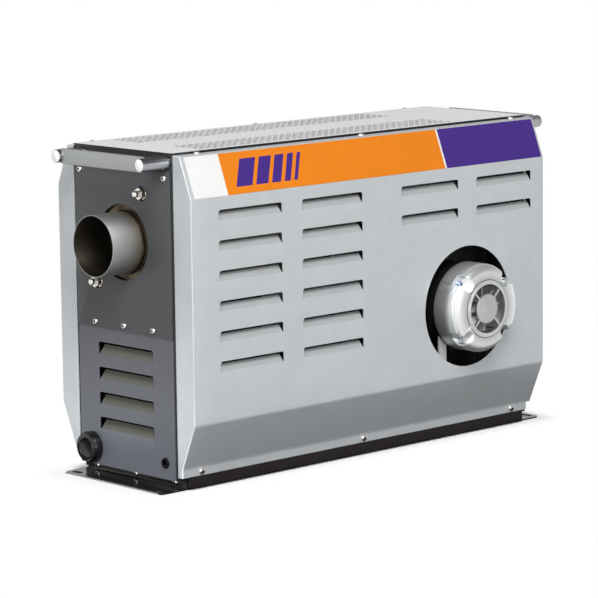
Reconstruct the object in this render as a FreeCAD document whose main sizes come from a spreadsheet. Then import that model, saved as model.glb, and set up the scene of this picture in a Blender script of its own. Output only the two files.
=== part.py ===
import FreeCAD, Part
import math
import os
import Sketcher
from types import SimpleNamespace

# Driving dimensions of the forced air heater, in millimetres and degrees.
SIZES = {
    # Cabinet: a long box whose side panels lean in above and below a flat main face.
    "body_length": 617.0, "body_width": 250.6, "panel_sheet": 1.2, "stand_height": 17.0,
    "strip_height": 10.8, "lower_band_height": 56.0, "main_face_height": 274.0, "label_band_height": 50.8,
    "top_inset": 19.8, "bottom_inset": 23.8, "flange_inset": 31.8, "side_gap": 1.3,
    "cover_rise": 2.7, "cover_sheet": 1.2, "cover_overhang": 1.0,
    # Louvres: windows whose flaps stay hinged at the bottom and lean inwards.
    "louvre_length": 103.7, "louvre_height": 13.0, "louvre_depth": 9.0, "louvre_gap": 1.6,
    "louvre_slot": 3.8, "louvre_corner": 2.5, "louvre_pitch": 36.85, "louvre_drop": 15.8,
    "outlet_column": 43.5, "rear_column": 23.8, "column_pitch": 137.0, "tall_rows": 6, "short_rows": 2,
    "end_louvre_height": 16.0, "end_louvre_pitch": 31.5, "end_louvre_drop": 17.5, "end_rows": 4,
    # Perforated bands of the top cover.
    "hole_pitch": 18.0, "hole_size": 7.6, "band_width": 45.0, "band_margin": 18.0,
    "band_start": 48.0, "band_end": 117.0,
    # End plates, frames and rails.
    "plate_sheet": 1.2, "plate_shift": 2.5, "plate_drop": 21.8, "lower_plate_bottom": 11.5,
    "seam_height": 185.0, "seam_lap": 18.0, "seam_gap": 0.8, "frame_sheet": 1.5, "frame_depth": 25.0,
    "upright_width": 22.0, "beam_height": 37.0, "rail_sheet": 1.2, "rail_shelf": 18.0, "rail_inset": 22.5,
    # Base pan and feet.
    "pan_sheet": 1.5, "pan_bottom": 3.0, "sill_height": 11.1, "foot_sheet": 1.6, "foot_projection": 27.5,
    "foot_setback": 14.0, "foot_overhang": 1.8, "foot_wall_height": 12.0, "foot_corner": 9.0,
    "slot_inset": 16.2, "slot_length": 17.0, "slot_width": 8.5, "slot_reach": 18.0,
    "foot_screw_spacing": 74.0, "foot_screw_height": 7.0,
    # Carrying handles.
    "handle_projection": 40.0, "handle_drop": 12.3, "post_radius": 8.25, "post_inset": 13.6,
    "spigot_radius": 5.0, "spigot_length": 11.0, "grip_setback": 5.5, "grip_height": 19.0,
    "grip_thickness": 6.0, "handle_nut_flats": 16.0, "handle_nut_height": 6.0,
    # Screws.
    "screw_radius": 2.0, "screw_head_radius": 4.0, "screw_head_height": 2.6, "screw_length": 8.0,
    "screw_margin": 34.0, "screw_clearance": 0.2, "top_screw_inset": 27.5, "strip_screw_rise": 5.0,
    "plate_screw_inset": 12.8, "plate_screw_drop": 31.3, "seam_screw_spacing": 54.5, "seam_screw_rise": 7.7,
    # Outlet tube and heater.
    "tube_radius": 38.15, "tube_wall": 1.5, "tube_projection": 48.4, "tube_drop": 115.3,
    "tube_hole_radius": 47.0, "weld_gap": 0.1, "mount_plate_sheet": 1.6, "mount_plate_lift": 5.0,
    "mount_plate_edge": 5.5,
    "case_radius": 52.0, "case_wall": 1.2, "case_flange_radius": 82.0, "jacket_radius": 72.5,
    "stud_radius": 4.0, "stud_circle": 72.5, "upper_stud_angle": 120.5, "lower_stud_angle": -46.8,
    "stud_hole_radius": 9.0, "stud_reach": 12.0, "stud_nut_flats": 13.0, "stud_nut_height": 6.0,
    "washer_radius": 7.5, "washer_height": 2.7,
    "element_radius": 4.0, "element_circle": 30.0, "element_margin": 50.0, "support_disc": 4.0,
    "support_margin": 25.0, "vent_radius": 9.0, "element_count": 6,
    "saddle_sheet": 2.0, "saddle_width": 130.0, "saddle_margin": 45.0, "saddle_foot": 25.0,
    # Blower.
    "outlet_rise": 120.5, "outlet_height": 75.0, "outlet_reach": 100.0, "scroll_start": 84.0,
    "scroll_width": 66.0, "scroll_sheet": 2.0, "tongue_reach": 50.0, "adapter_length": 43.0,
    "inlet_radius": 48.0, "inlet_lip": 8.0, "impeller_radius": 70.0, "impeller_sheet": 2.0,
    "impeller_back_gap": 5.0, "impeller_front_gap": 8.0, "blade_count": 9, "blade_inner": 36.0,
    "hub_radius": 12.0, "hub_length": 30.0, "stand_sheet": 2.5, "stand_width": 60.0,
    # Motor.
    "motor_projection": 36.0, "motor_from_rear": 144.0, "motor_radius": 56.0, "motor_wall": 4.0,
    "cutout_radius": 78.8, "bell_depth": 38.0, "bell_radius": 57.4, "bell_wall": 3.0, "bell_shoulder": 13.0,
    "grille_ring": 37.0, "grille_lip": 34.4, "grille_opening": 32.0, "grille_hub": 19.4, "spoke_width": 2.6,
    "ring_rise": 1.6, "pocket_radius": 8.0, "pocket_wall": 2.2, "bolt_circle": 46.5, "pocket_floor": 18.0,
    "bell_screw_radius": 2.5, "bell_head_radius": 4.2, "bell_head_height": 3.2,
    "land_rise": 1.6, "land_angle": 56.0, "land_length": 17.0,
    "shield_sheet": 4.0, "boss_radius": 20.0, "boss_length": 10.0, "bearing_radius": 13.0,
    "bearing_width": 8.0, "seat_gap": 0.03, "running_gap": 0.04, "shaft_radius": 5.0,
    "core_length": 44.0, "core_bore": 32.0, "air_gap": 0.5, "winding_length": 11.0,
    "fan_radius": 30.0, "fan_depth": 9.0, "fan_gap": 4.0, "fan_blades": 8,
    "bracket_sheet": 3.0, "bracket_length": 52.0, "bracket_gap": 4.0, "bracket_jog": 8.0,
    "leg_spacing": 73.0, "leg_width": 13.0, "cradle_drop": 30.0,
    # Cable entries and terminal block.
    "gland_radius": 20.4, "gland_depth": 12.0, "gland_spigot": 13.8, "gland_spigot_length": 13.0,
    "gland_inset": 25.0, "gland_height": 33.0, "gland_nut_radius": 17.0, "gland_nut_height": 5.0,
    "grommet_radius": 6.9, "grommet_neck": 5.4, "grommet_bore": 3.6, "grommet_lip": 2.2,
    "grommet_inset": 20.6, "grommet_height": 31.7,
    "block_length": 90.0, "block_width": 26.0, "block_height": 22.0, "block_barrier": 2.0,
    "block_reach": 70.0, "block_ways": 6,
}

doc = FreeCAD.newDocument("forced_air_heater")
sheet = doc.addObject("Spreadsheet::Sheet", "sizes")
for row, (alias, amount) in enumerate(SIZES.items(), start=1):
    sheet.set(f"A{row}", alias)
    sheet.set(f"B{row}", str(amount))
    sheet.setAlias(f"B{row}", alias)
doc.recompute()


class Size:
    """A length that keeps its number together with the sheet expression that gives it."""

    def __init__(self, value, text):
        self.value = value
        self.text = text

    def __add__(self, other):
        return Size(self.value + number(other), f"({self.text} + {words(other)})")

    def __radd__(self, other):
        return Size(number(other) + self.value, f"({words(other)} + {self.text})")

    def __sub__(self, other):
        return Size(self.value - number(other), f"({self.text} - {words(other)})")

    def __rsub__(self, other):
        return Size(number(other) - self.value, f"({words(other)} - {self.text})")

    def __mul__(self, other):
        return Size(self.value * number(other), f"({self.text} * {words(other)})")

    __rmul__ = __mul__

    def __truediv__(self, other):
        return Size(self.value / number(other), f"({self.text} / {words(other)})")

    def __neg__(self):
        return Size(-self.value, f"(-{self.text})")


def number(item):
    return item.value if isinstance(item, Size) else float(item)


def words(item):
    return item.text if isinstance(item, Size) else f"({item:.9g})"


def turned(radius, angle):
    """The two offsets of a point on a circle, bound to its radius and angle."""
    turn = math.radians(number(angle))
    across = Size(number(radius) * math.cos(turn), f"({words(radius)} * cos({words(angle)} * 1 deg))")
    along = Size(number(radius) * math.sin(turn), f"({words(radius)} * sin({words(angle)} * 1 deg))")
    return across, along


s = SimpleNamespace(**{alias: Size(float(amount), f"sizes.{alias}") for alias, amount in SIZES.items()})

ZERO = Size(0.0, "0")

# Places that the pieces share. The overall box is centred on the origin and stands on Z = 0.
half_width = s.body_width / 2
x_mid = (s.tube_projection - s.handle_projection) / 2
y_mid = s.motor_projection / 2
x_out = x_mid - s.body_length / 2
x_rear = x_mid + s.body_length / 2
y_front = y_mid - half_width
z_band = s.stand_height + s.strip_height
z_face = z_band + s.lower_band_height
z_label = z_face + s.main_face_height
z_top = z_label + s.label_band_height
z_cover = z_top + s.cover_rise
z_seat = z_cover - s.cover_sheet
z_pan = s.pan_bottom + s.pan_sheet
z_sill = s.pan_bottom + s.sill_height
plate_half = half_width - s.flange_inset - s.side_gap
y_plate = y_mid + s.plate_shift
end_half = plate_half - s.plate_shift
post_half = plate_half - s.post_inset
plate_screw_half = plate_half - s.plate_screw_inset
foot_half = plate_half + s.foot_overhang
slot_half = foot_half - s.slot_inset
gland_half = plate_half - s.gland_inset
grommet_half = plate_half - s.grommet_inset
plate_stack = 2 * s.plate_sheet
plate_top = z_cover - s.plate_drop
handle_z = z_cover - s.handle_drop
tube_z = z_cover - s.tube_drop
motor_x = x_rear - s.motor_from_rear
motor_z = tube_z - s.outlet_rise
screw_hole = s.screw_radius + s.screw_clearance
screw_xs = [x_out + s.screw_margin, x_mid, x_rear - s.screw_margin]
strip_screw_z = s.stand_height + s.strip_screw_rise
plate_screw_z = z_cover - s.plate_screw_drop
seam_screw_z = s.seam_height + s.seam_screw_rise
mount_plate_x = x_out + plate_stack + s.frame_sheet
case_start = mount_plate_x + s.mount_plate_sheet
case_end = motor_x - s.outlet_reach - s.adapter_length
scroll_back = y_mid - s.scroll_width / 2
scroll_front = y_mid + s.scroll_width / 2
motor_nose = y_front - s.motor_projection
bell_back = motor_nose + s.bell_depth
drive_back = scroll_back - s.scroll_sheet
core_middle = (bell_back + drive_back) / 2
scroll_step = (s.outlet_rise + s.outlet_height / 2 - s.scroll_start) / 3
studs = [turned(s.stud_circle, s.upper_stud_angle), turned(s.stud_circle, s.lower_stud_angle)]

# Rotations that send a turned piece's own Z axis along the named direction.
ALONG_X = FreeCAD.Rotation(FreeCAD.Vector(0, 1, 0), 90)
AGAINST_X = FreeCAD.Rotation(FreeCAD.Vector(0, 1, 0), -90)
ALONG_Y = FreeCAD.Rotation(FreeCAD.Vector(1, 0, 0), -90)
FACING_FRONT = FreeCAD.Rotation(FreeCAD.Vector(1, 0, 0), 90)
UPRIGHT = FreeCAD.Rotation()
HALF_TURN = FreeCAD.Rotation(FreeCAD.Vector(0, 0, 1), 180)

pieces = []


def circle(u, v, radius):
    return SimpleNamespace(u=u, v=v, radius=radius)


def rectangle(u0, v0, u1, v1):
    return [(u0, v0), (u1, v0), (u1, v1), (u0, v1)]


def arc_geometry(start, end, radius):
    """An arc between two points; a positive radius has its centre to the left of travel."""
    dx, dy = end[0] - start[0], end[1] - start[1]
    chord = math.hypot(dx, dy)
    rise = math.sqrt(max(radius * radius - chord * chord / 4, 0.0)) * (1 if radius > 0 else -1)
    middle_u, middle_v = (start[0] + end[0]) / 2, (start[1] + end[1]) / 2
    centre = FreeCAD.Vector(middle_u - dy / chord * rise, middle_v + dx / chord * rise)
    first, last = (start, end) if radius > 0 else (end, start)
    angles = [math.atan2(p[1] - centre.y, p[0] - centre.x) for p in (first, last)]
    return Part.ArcOfCircle(Part.Circle(centre, FreeCAD.Vector(0, 0, 1), abs(radius)), *angles)


def pin_down(sketch, geometry, position, u, v):
    for kind, amount in (("DistanceX", u), ("DistanceY", v)):
        index = sketch.addConstraint(Sketcher.Constraint(kind, -1, 1, geometry, position, number(amount)))
        sketch.setExpression(f"Constraints[{index}]", words(amount))


def fix_radius(sketch, geometry, radius):
    index = sketch.addConstraint(Sketcher.Constraint("Radius", geometry, abs(number(radius))))
    sketch.setExpression(f"Constraints[{index}]", f"abs({words(radius)})")


def draw_circle(sketch, loop):
    centre = FreeCAD.Vector(number(loop.u), number(loop.v), 0)
    geometry = sketch.addGeometry(Part.Circle(centre, FreeCAD.Vector(0, 0, 1), number(loop.radius)))
    pin_down(sketch, geometry, 3, loop.u, loop.v)
    fix_radius(sketch, geometry, loop.radius)


def draw_outline(sketch, points):
    """A closed outline. A point with a third value starts an arc of that radius to the next one."""
    ends = []
    for index, point in enumerate(points):
        start = (number(point[0]), number(point[1]))
        follower = points[(index + 1) % len(points)]
        end = (number(follower[0]), number(follower[1]))
        if len(point) == 3:
            geometry = sketch.addGeometry(arc_geometry(start, end, number(point[2])))
            ends.append((geometry, 1, 2) if number(point[2]) > 0 else (geometry, 2, 1))
            fix_radius(sketch, geometry, point[2])
        else:
            line = Part.LineSegment(FreeCAD.Vector(*start, 0), FreeCAD.Vector(*end, 0))
            ends.append((sketch.addGeometry(line), 1, 2))
    for index, (geometry, start, end) in enumerate(ends):
        nxt = ends[(index + 1) % len(ends)]
        sketch.addConstraint(Sketcher.Constraint("Coincident", geometry, end, nxt[0], nxt[1]))
    for point, (geometry, start, end) in zip(points, ends):
        pin_down(sketch, geometry, start, point[0], point[1])


class Piece:
    """One body of the assembly, made from sketches on its own origin planes."""

    planes = {"X": ("YZ_Plane", 1), "Y": ("XZ_Plane", -1), "Z": ("XY_Plane", 1)}

    def __init__(self, label, place=(0, 0, 0), rotation=UPRIGHT, alone=True):
        self.body = doc.addObject("PartDesign::Body", label)
        self.body.Label = label
        self.body.Placement = FreeCAD.Placement(FreeCAD.Vector(*[number(p) for p in place]), rotation)
        for axis, amount in zip("xyz", place):
            self.body.setExpression(f"Placement.Base.{axis}", words(amount))
        if alone:
            pieces.append(self.body)

    def origin(self, role):
        return next(f for f in self.body.Origin.OriginFeatures if f.Role == role)

    def sketch(self, axis, place, loops):
        plane, sense = self.planes[axis]
        sketch = self.body.newObject("Sketcher::SketchObject", f"{self.body.Name}_sketch")
        sketch.AttachmentSupport = [(self.origin(plane), "")]
        sketch.MapMode = "FlatFace"
        sketch.setExpression("AttachmentOffset.Base.z", f"{sense} * {words(place)}")
        for loop in loops:
            if isinstance(loop, SimpleNamespace):
                draw_circle(sketch, loop)
            else:
                draw_outline(sketch, loop)
        return sketch

    def feature(self, kind, axis, start, end, loops, against):
        feature = self.body.newObject(f"PartDesign::{kind}", f"{self.body.Name}_{kind.lower()}")
        feature.Profile = self.sketch(axis, start, loops)
        feature.Reversed = (self.planes[axis][1] < 0) != against
        feature.setExpression("Length", words(end - start))
        self.body.Tip = feature
        return feature

    def add(self, axis, start, end, *loops):
        return self.feature("Pad", axis, start, end, loops, False)

    def cut(self, axis, start, end, *loops):
        return self.feature("Pocket", axis, start, end, loops, True)

    def spin(self, *loops, kind="Revolution", angle=360):
        feature = self.body.newObject(f"PartDesign::{kind}", f"{self.body.Name}_{kind.lower()}")
        feature.Profile = self.sketch("Y", ZERO, loops)
        feature.ReferenceAxis = (feature.Profile[0], ["V_Axis"])
        feature.Midplane = True
        feature.setExpression("Angle", words(angle))
        self.body.Tip = feature
        return feature

    def row(self, features, axis, pitch, count, reverse=False):
        pattern = self.body.newObject("PartDesign::LinearPattern", f"{self.body.Name}_row")
        pattern.Originals = features
        pattern.Direction = (self.origin(f"{axis}_Axis"), [""])
        pattern.Reversed = reverse
        pattern.Mode = "Spacing"
        pattern.setExpression("Offset", words(pitch))
        pattern.Occurrences = int(number(count))
        self.body.Tip = pattern

    def ring(self, features, count):
        pattern = self.body.newObject("PartDesign::PolarPattern", f"{self.body.Name}_ring")
        pattern.Originals = features
        pattern.Axis = (self.origin("Z_Axis"), [""])
        pattern.Angle = 360
        pattern.Occurrences = int(number(count))
        self.body.Tip = pattern


def welded(label, members):
    """Bodies that are welded together and handled as one piece."""
    joined = doc.addObject("Part::Compound", label)
    joined.Label = label
    joined.Links = [member.body for member in members]
    pieces.append(joined)


def coded(label, shape):
    """A piece, or group of like pieces, whose shape is worked out from the sheet in code."""
    feature = doc.addObject("Part::Feature", label)
    feature.Label = label
    feature.Shape = shape.Solids[0] if len(shape.Solids) == 1 else shape
    pieces.append(feature)


def point(x, y, z):
    return FreeCAD.Vector(number(x), number(y), number(z))


def turned_solid(profile):
    """A solid of revolution about Z from a closed outline of radius and height pairs."""
    corners = [FreeCAD.Vector(number(r), 0, number(z)) for r, z in profile]
    face = Part.Face(Part.makePolygon(corners + corners[:1]))
    return face.revolve(FreeCAD.Vector(), FreeCAD.Vector(0, 0, 1), 360)


def hexagon_solid(flats, bore, height):
    corner = number(flats) / math.sqrt(3)
    turns = [math.radians(60 * k) for k in range(7)]
    corners = [FreeCAD.Vector(corner * math.cos(turn), corner * math.sin(turn), 0) for turn in turns]
    prism = Part.Face(Part.makePolygon(corners)).extrude(FreeCAD.Vector(0, 0, number(height)))
    return prism.cut(Part.makeCylinder(number(bore), number(height)))


def group(label, shape, places):
    """Copies of one small solid, as a group in one node; each place is a point and a rotation."""
    copies = []
    for spot, rotation in places:
        copy = shape.copy()
        copy.Placement = FreeCAD.Placement(spot, rotation)
        copies.append(copy)
    coded(label, Part.makeCompound(copies))


def screw_solid(head_radius, head_height, shank_radius, length):
    """A pan-head screw with its seat at Z = 0 and its head above."""
    head, rise, shank = number(head_radius), number(head_height), number(shank_radius)
    return turned_solid([(0, -number(length)), (shank, -number(length)), (shank, 0), (head, 0),
                         (head, rise * 0.35), (head * 0.8, rise * 0.85), (head * 0.45, rise), (0, rise)])


def across(side, inset):
    """A place across the cabinet, measured inwards from the main face on the given side."""
    return y_mid + side * (half_width - inset)


def press_louvres(piece, axis, tops, face, inwards, starts, sizes, pitch, rows):
    """Rows of louvres: a window in the sheet, and its flap left standing on the bottom edge, bent inwards."""
    height, gauge = sizes
    bottoms, corner, depth = tops - height, s.louvre_corner, s.louvre_depth
    flap_top = tops - s.louvre_slot
    flap = [(face, bottoms), (face + inwards * depth, flap_top),
            (face + inwards * (depth + gauge), flap_top), (face + inwards * gauge, bottoms)]
    normal = "Y" if axis == "X" else "X"
    middle, reach = face + inwards * gauge / 2, 1.5 * gauge
    features = []
    for start in starts:
        end = start + s.louvre_length
        window = [(start, bottoms), (end, bottoms), (end, tops - corner, corner), (end - corner, tops),
                  (start + corner, tops, corner), (start, tops - corner)]
        features.append(piece.cut(normal, middle - reach, middle + reach, window))
        features.append(piece.add(axis, start + s.louvre_gap, end - s.louvre_gap, flap))
    piece.row(features, "Z", pitch, rows, reverse=True)


def side_panel(label, side, rear_rows):
    """A bent side panel with folded end flanges, pressed louvres and screw holes."""
    panel = Piece(label)
    gauge = s.panel_sheet
    outside = [(across(side, s.flange_inset), z_top), (across(side, s.top_inset), z_top),
               (across(side, 0), z_label), (across(side, 0), z_face),
               (across(side, s.bottom_inset), z_band), (across(side, s.bottom_inset), s.stand_height)]
    inside = [(across(side, s.bottom_inset + gauge), s.stand_height),
              (across(side, s.bottom_inset + gauge), z_band),
              (across(side, gauge), z_face), (across(side, gauge), z_label),
              (across(side, s.top_inset + gauge), z_top - gauge),
              (across(side, s.flange_inset), z_top - gauge)]
    panel.add("X", x_out, x_rear, outside + inside)
    flange = outside[:5] + [(across(side, s.flange_inset), z_band)]
    panel.add("X", x_out, x_out + gauge, flange)
    panel.add("X", x_rear - gauge, x_rear, flange)
    louvre_top = z_label - s.louvre_drop
    rear_start = x_rear - s.rear_column - s.louvre_length
    for starts, rows in (((x_out + s.outlet_column, x_out + s.outlet_column + s.column_pitch), s.tall_rows),
                         ((rear_start - s.column_pitch, rear_start), rear_rows)):
        press_louvres(panel, "X", louvre_top, across(side, 0), -side, starts,
                      (s.louvre_height, gauge), s.louvre_pitch, rows)
    panel.cut("Z", z_top - 2 * gauge, z_top + gauge,
              *[circle(x, across(side, s.top_screw_inset), screw_hole) for x in screw_xs])
    strip = across(side, s.bottom_inset + gauge / 2)
    panel.cut("Y", strip - gauge, strip + gauge, *[circle(x, strip_screw_z, screw_hole) for x in screw_xs])
    return panel


def make_panels():
    front = side_panel("front_side_panel", -1, s.short_rows)
    front.cut("Y", y_front - s.panel_sheet, y_front + 2 * s.panel_sheet,
              circle(motor_x, motor_z, s.cutout_radius))
    side_panel("back_side_panel", 1, s.tall_rows)


def make_pan():
    """A shallow tray: tall side walls behind the panels' strips and low sills that take the feet."""
    pan = Piece("base_pan")
    reach = half_width - s.bottom_inset - s.panel_sheet
    gauge, bottom = s.pan_sheet, s.pan_bottom
    rim = z_band - s.panel_sheet
    start, end = x_out + s.foot_setback, x_rear - s.foot_setback
    pan.add("X", start, end,
            [(y_mid - reach, rim), (y_mid - reach, bottom), (y_mid + reach, bottom), (y_mid + reach, rim),
             (y_mid + reach - gauge, rim), (y_mid + reach - gauge, z_pan),
             (y_mid - reach + gauge, z_pan), (y_mid - reach + gauge, rim)])
    sill = rectangle(y_mid - reach, bottom, y_mid + reach, z_sill)
    pan.add("X", start, start + gauge, sill)
    pan.add("X", end - gauge, end, sill)
    for side in (-1, 1):
        wall = y_mid + side * (reach - gauge / 2)
        pan.cut("Y", wall - gauge, wall + gauge, *[circle(x, strip_screw_z, screw_hole) for x in screw_xs])
    holes = [circle(y_mid + k * s.foot_screw_spacing, s.foot_screw_height, screw_hole) for k in (-1, 0, 1)]
    pan.cut("X", start - gauge, start + 2 * gauge, *holes)
    pan.cut("X", end - 2 * gauge, end + gauge, *holes)


def make_feet():
    """Bent L plates: a floor flange with two slots and a low wall screwed to the pan's sill."""
    reach = s.foot_setback + s.foot_projection
    half, corner, top = foot_half, s.foot_corner, s.foot_wall_height
    slot_x = s.foot_setback + s.slot_reach
    round_slot = s.slot_width / 2
    run = s.slot_length / 2 - round_slot
    for label, x, rotation in (("outlet_foot", x_out + s.foot_setback, HALF_TURN),
                               ("rear_foot", x_rear - s.foot_setback, UPRIGHT)):
        foot = Piece(label, (x, y_mid, 0), rotation)
        plate = [(ZERO, -half), (reach - corner, -half, corner), (reach, corner - half),
                 (reach, half - corner, corner), (reach - corner, half), (ZERO, half)]
        slots = []
        for side in (-1, 1):
            middle = side * slot_half
            near, far = slot_x - round_slot, slot_x + round_slot
            slots.append([(near, middle + run), (near, middle - run, round_slot),
                          (slot_x, middle - run - round_slot, round_slot), (far, middle - run),
                          (far, middle + run, round_slot), (slot_x, middle + run + round_slot, round_slot)])
        foot.add("Z", ZERO, s.foot_sheet, plate, *slots)
        bend = s.foot_sheet * 2
        wall = [(-half, ZERO), (half, ZERO), (half, top - bend, bend), (half - bend, top),
                (bend - half, top, bend), (-half, top - bend)]
        foot.add("X", ZERO, s.foot_sheet, wall)
        foot.cut("X", -s.foot_sheet, 2 * s.foot_sheet,
                 *[circle(k * s.foot_screw_spacing, s.foot_screw_height, screw_hole) for k in (-1, 0, 1)])


def make_end_frames():
    """Welded portal frames, one at each end: two angle uprights under a cross channel for the handles."""
    gauge = s.frame_sheet
    opening, inner = plate_half - s.upright_width, plate_half - gauge
    beam = z_seat - s.beam_height
    spigot_hole = s.spigot_radius + s.screw_clearance
    for label, x, rotation in (("outlet_end_frame", x_out + plate_stack, UPRIGHT),
                               ("rear_end_frame", x_rear - plate_stack, HALF_TURN)):
        place = (x, y_mid, 0)
        shift = s.plate_shift if rotation is UPRIGHT else ZERO
        channel = Piece(f"{label}_channel", place, rotation, alone=False)
        channel.add("X", ZERO, gauge, rectangle(-plate_half, beam, plate_half, z_seat))
        channel.add("X", ZERO, s.frame_depth,
                    [(-plate_half, beam), (-inner, beam), (-inner, z_seat - gauge), (inner, z_seat - gauge),
                     (inner, beam), (plate_half, beam), (plate_half, z_seat), (-plate_half, z_seat)])
        channel.cut("X", -gauge, 2 * gauge,
                    *[circle(side * post_half, handle_z, spigot_hole) for side in (-1, 1)],
                    *[circle(shift + side * plate_screw_half, plate_screw_z, screw_hole) for side in (-1, 1)])
        members = [channel]
        for name, side in (("front", -1), ("back", 1)):
            upright = Piece(f"{label}_{name}_upright", place, rotation, alone=False)
            upright.add("Z", z_sill, beam,
                        [(ZERO, side * opening), (gauge, side * opening), (gauge, side * inner),
                         (s.frame_depth, side * inner), (s.frame_depth, side * plate_half),
                         (ZERO, side * plate_half)])
            members.append(upright)
        if rotation is UPRIGHT:
            members[1].cut("X", -gauge, 2 * gauge,
                           circle(shift - grommet_half, s.grommet_height, s.grommet_radius * 1.1))
            members[2].cut("X", -gauge, 2 * gauge,
                           circle(shift + gland_half, s.gland_height, s.gland_nut_radius * 1.2))
        welded(label, members)


def make_rails():
    """Joggled rails: the outer step holds the side panel's flange, the inner one the cover."""
    gauge = s.rail_sheet
    web = half_width - plate_half
    shelf = web + s.rail_shelf
    low = z_top - s.panel_sheet
    start = x_out + plate_stack + s.frame_depth
    end = x_rear - plate_stack - s.frame_depth
    for label, side in (("front_top_rail", -1), ("back_top_rail", 1)):
        rail = Piece(label)
        rail.add("X", start, end,
                 [(across(side, s.rail_inset), low), (across(side, web), low), (across(side, web), z_seat),
                  (across(side, shelf), z_seat), (across(side, shelf), z_seat - gauge),
                  (across(side, web + gauge), z_seat - gauge), (across(side, web + gauge), low - gauge),
                  (across(side, s.rail_inset), low - gauge)])
        rail.cut("Z", low - 2 * gauge, low + gauge,
                 *[circle(x, across(side, s.top_screw_inset), screw_hole) for x in screw_xs])


def make_end_plates():
    """The tray-edged upper plate laps over the louvred lower plate; the rear has one whole plate."""
    gauge, bottom = s.plate_sheet, s.lower_plate_bottom
    left, right = y_plate - end_half, y_plate + end_half
    seam_screws = [circle(y_plate + k * s.seam_screw_spacing, seam_screw_z, screw_hole) for k in (-1, 0, 1)]

    def top_screws(middle):
        return [circle(middle + side * plate_screw_half, plate_screw_z, screw_hole) for side in (-1, 1)]

    def tray_edge(first, last, low):
        return [(first, low), (first + gauge, low), (first + gauge, plate_top - gauge),
                (last - gauge, plate_top - gauge), (last - gauge, low), (last, low),
                (last, plate_top), (first, plate_top)]

    upper = Piece("upper_end_plate")
    upper.add("X", x_out, x_out + gauge, rectangle(left, s.seam_height, right, plate_top),
              circle(y_plate, tube_z, s.tube_hole_radius), *top_screws(y_plate), *seam_screws,
              *[circle(y_plate + dy, tube_z + dz, s.stud_hole_radius) for dy, dz in studs])
    upper.add("X", x_out, x_out + plate_stack, tray_edge(left, right, s.seam_height))

    lower = Piece("lower_end_plate")
    lip = end_half - 2 * gauge
    seam, lap = s.seam_height - s.seam_gap, s.seam_height + s.seam_lap
    lower.add("X", x_out + gauge, x_out + plate_stack,
              [(left, bottom), (right, bottom), (right, seam), (y_plate + lip, seam), (y_plate + lip, lap),
               (y_plate - lip, lap), (y_plate - lip, seam), (left, seam)],
              *seam_screws,
              circle(y_plate + gland_half, s.gland_height, s.gland_spigot + s.screw_clearance),
              circle(y_plate - grommet_half, s.grommet_height, s.grommet_neck + s.screw_clearance))
    press_louvres(lower, "Y", s.seam_height - s.end_louvre_drop, x_out + gauge, 1,
                  (y_plate - s.louvre_length / 2,), (s.end_louvre_height, gauge),
                  s.end_louvre_pitch, s.end_rows)

    rear = Piece("rear_end_plate")
    near, far = y_mid - plate_half, y_mid + plate_half
    rear.add("X", x_rear - gauge, x_rear, rectangle(near, bottom, far, plate_top), *top_screws(y_mid))
    rear.add("X", x_rear - plate_stack, x_rear, tray_edge(near, far, bottom))


def make_cover():
    """A flat cover with two bands of staggered square holes set on their corners."""
    left, right = number(x_out - s.cover_overhang), number(x_rear + s.cover_overhang)
    base, half = number(z_seat), number(plate_half)
    middle = number(y_mid)

    def wire(corners):
        vectors = [FreeCAD.Vector(x, y, base) for x, y in corners]
        return Part.makePolygon(vectors + vectors[:1])

    pitch, reach = number(s.hole_pitch), number(s.hole_size) / math.sqrt(2)
    rows = int(number(s.band_width) / (pitch / 2)) + 1
    first = number(x_out + s.band_start)
    columns = int((number(x_rear - s.band_end) - first) / pitch)
    near, far = middle - half, middle + half
    wires = [wire([(left, near), (right, near), (right, far), (left, far)])]
    for side in (-1, 1):
        for row in range(rows - 1):
            y = middle + side * (half - number(s.band_margin) - (row + 0.5) * pitch / 2)
            for column in range(columns):
                x = first + (column + 0.5 * (row % 2)) * pitch
                wires.append(wire([(x - reach, y), (x, y - reach), (x + reach, y), (x, y + reach)]))
    coded("top_cover", Part.makeFace(wires, "Part::FaceMakerBullseye").extrude(point(0, 0, s.cover_sheet)))


def make_handles():
    """Two turned posts at each end, joined by a flat grip bar whose ends are cupped round them."""
    nose = s.handle_projection + plate_stack
    rim = s.post_radius * 0.1
    nuts = []
    for end, x, rotation, sense in (("outlet", x_out + plate_stack, AGAINST_X, -1),
                                    ("rear", x_rear - plate_stack, ALONG_X, 1)):
        for name, side in (("front", -1), ("back", 1)):
            y = y_mid + side * post_half
            post = Piece(f"{end}_handle_{name}_post", (x, y, handle_z), rotation)
            post.spin([(ZERO, -s.spigot_length), (s.spigot_radius, -s.spigot_length),
                       (s.spigot_radius, ZERO), (s.post_radius + rim, ZERO),
                       (s.post_radius + rim, 2 * rim), (s.post_radius, 3 * rim),
                       (s.post_radius, nose - rim), (s.post_radius - rim, nose), (ZERO, nose)])
            nuts.append((point(x - sense * s.frame_sheet, y, handle_z), AGAINST_X if sense > 0 else ALONG_X))
        grip = Piece(f"{end}_handle_grip", (x, y_mid, handle_z))
        outer = sense * (nose - s.grip_setback)
        inner = sense * (nose - s.grip_setback - s.grip_thickness)
        low, high = (outer, inner) if sense < 0 else (inner, outer)
        half, tall, ease = post_half, s.grip_height / 2, s.grip_thickness / 4
        grip.add("Y", -half, half,
                 [(low + ease, -tall), (high - ease, -tall, ease),
                  (high, ease - tall), (high, tall - ease, ease),
                  (high - ease, tall), (low + ease, tall, ease),
                  (low, tall - ease), (low, ease - tall, ease)])
        grip.cut("X", low - ease, high + ease,
                 *[circle(side * half, ZERO, s.post_radius + s.weld_gap) for side in (-1, 1)])
    nut = hexagon_solid(s.handle_nut_flats, s.spigot_radius + s.weld_gap, s.handle_nut_height)
    group("handle_nuts", nut, nuts)


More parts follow.
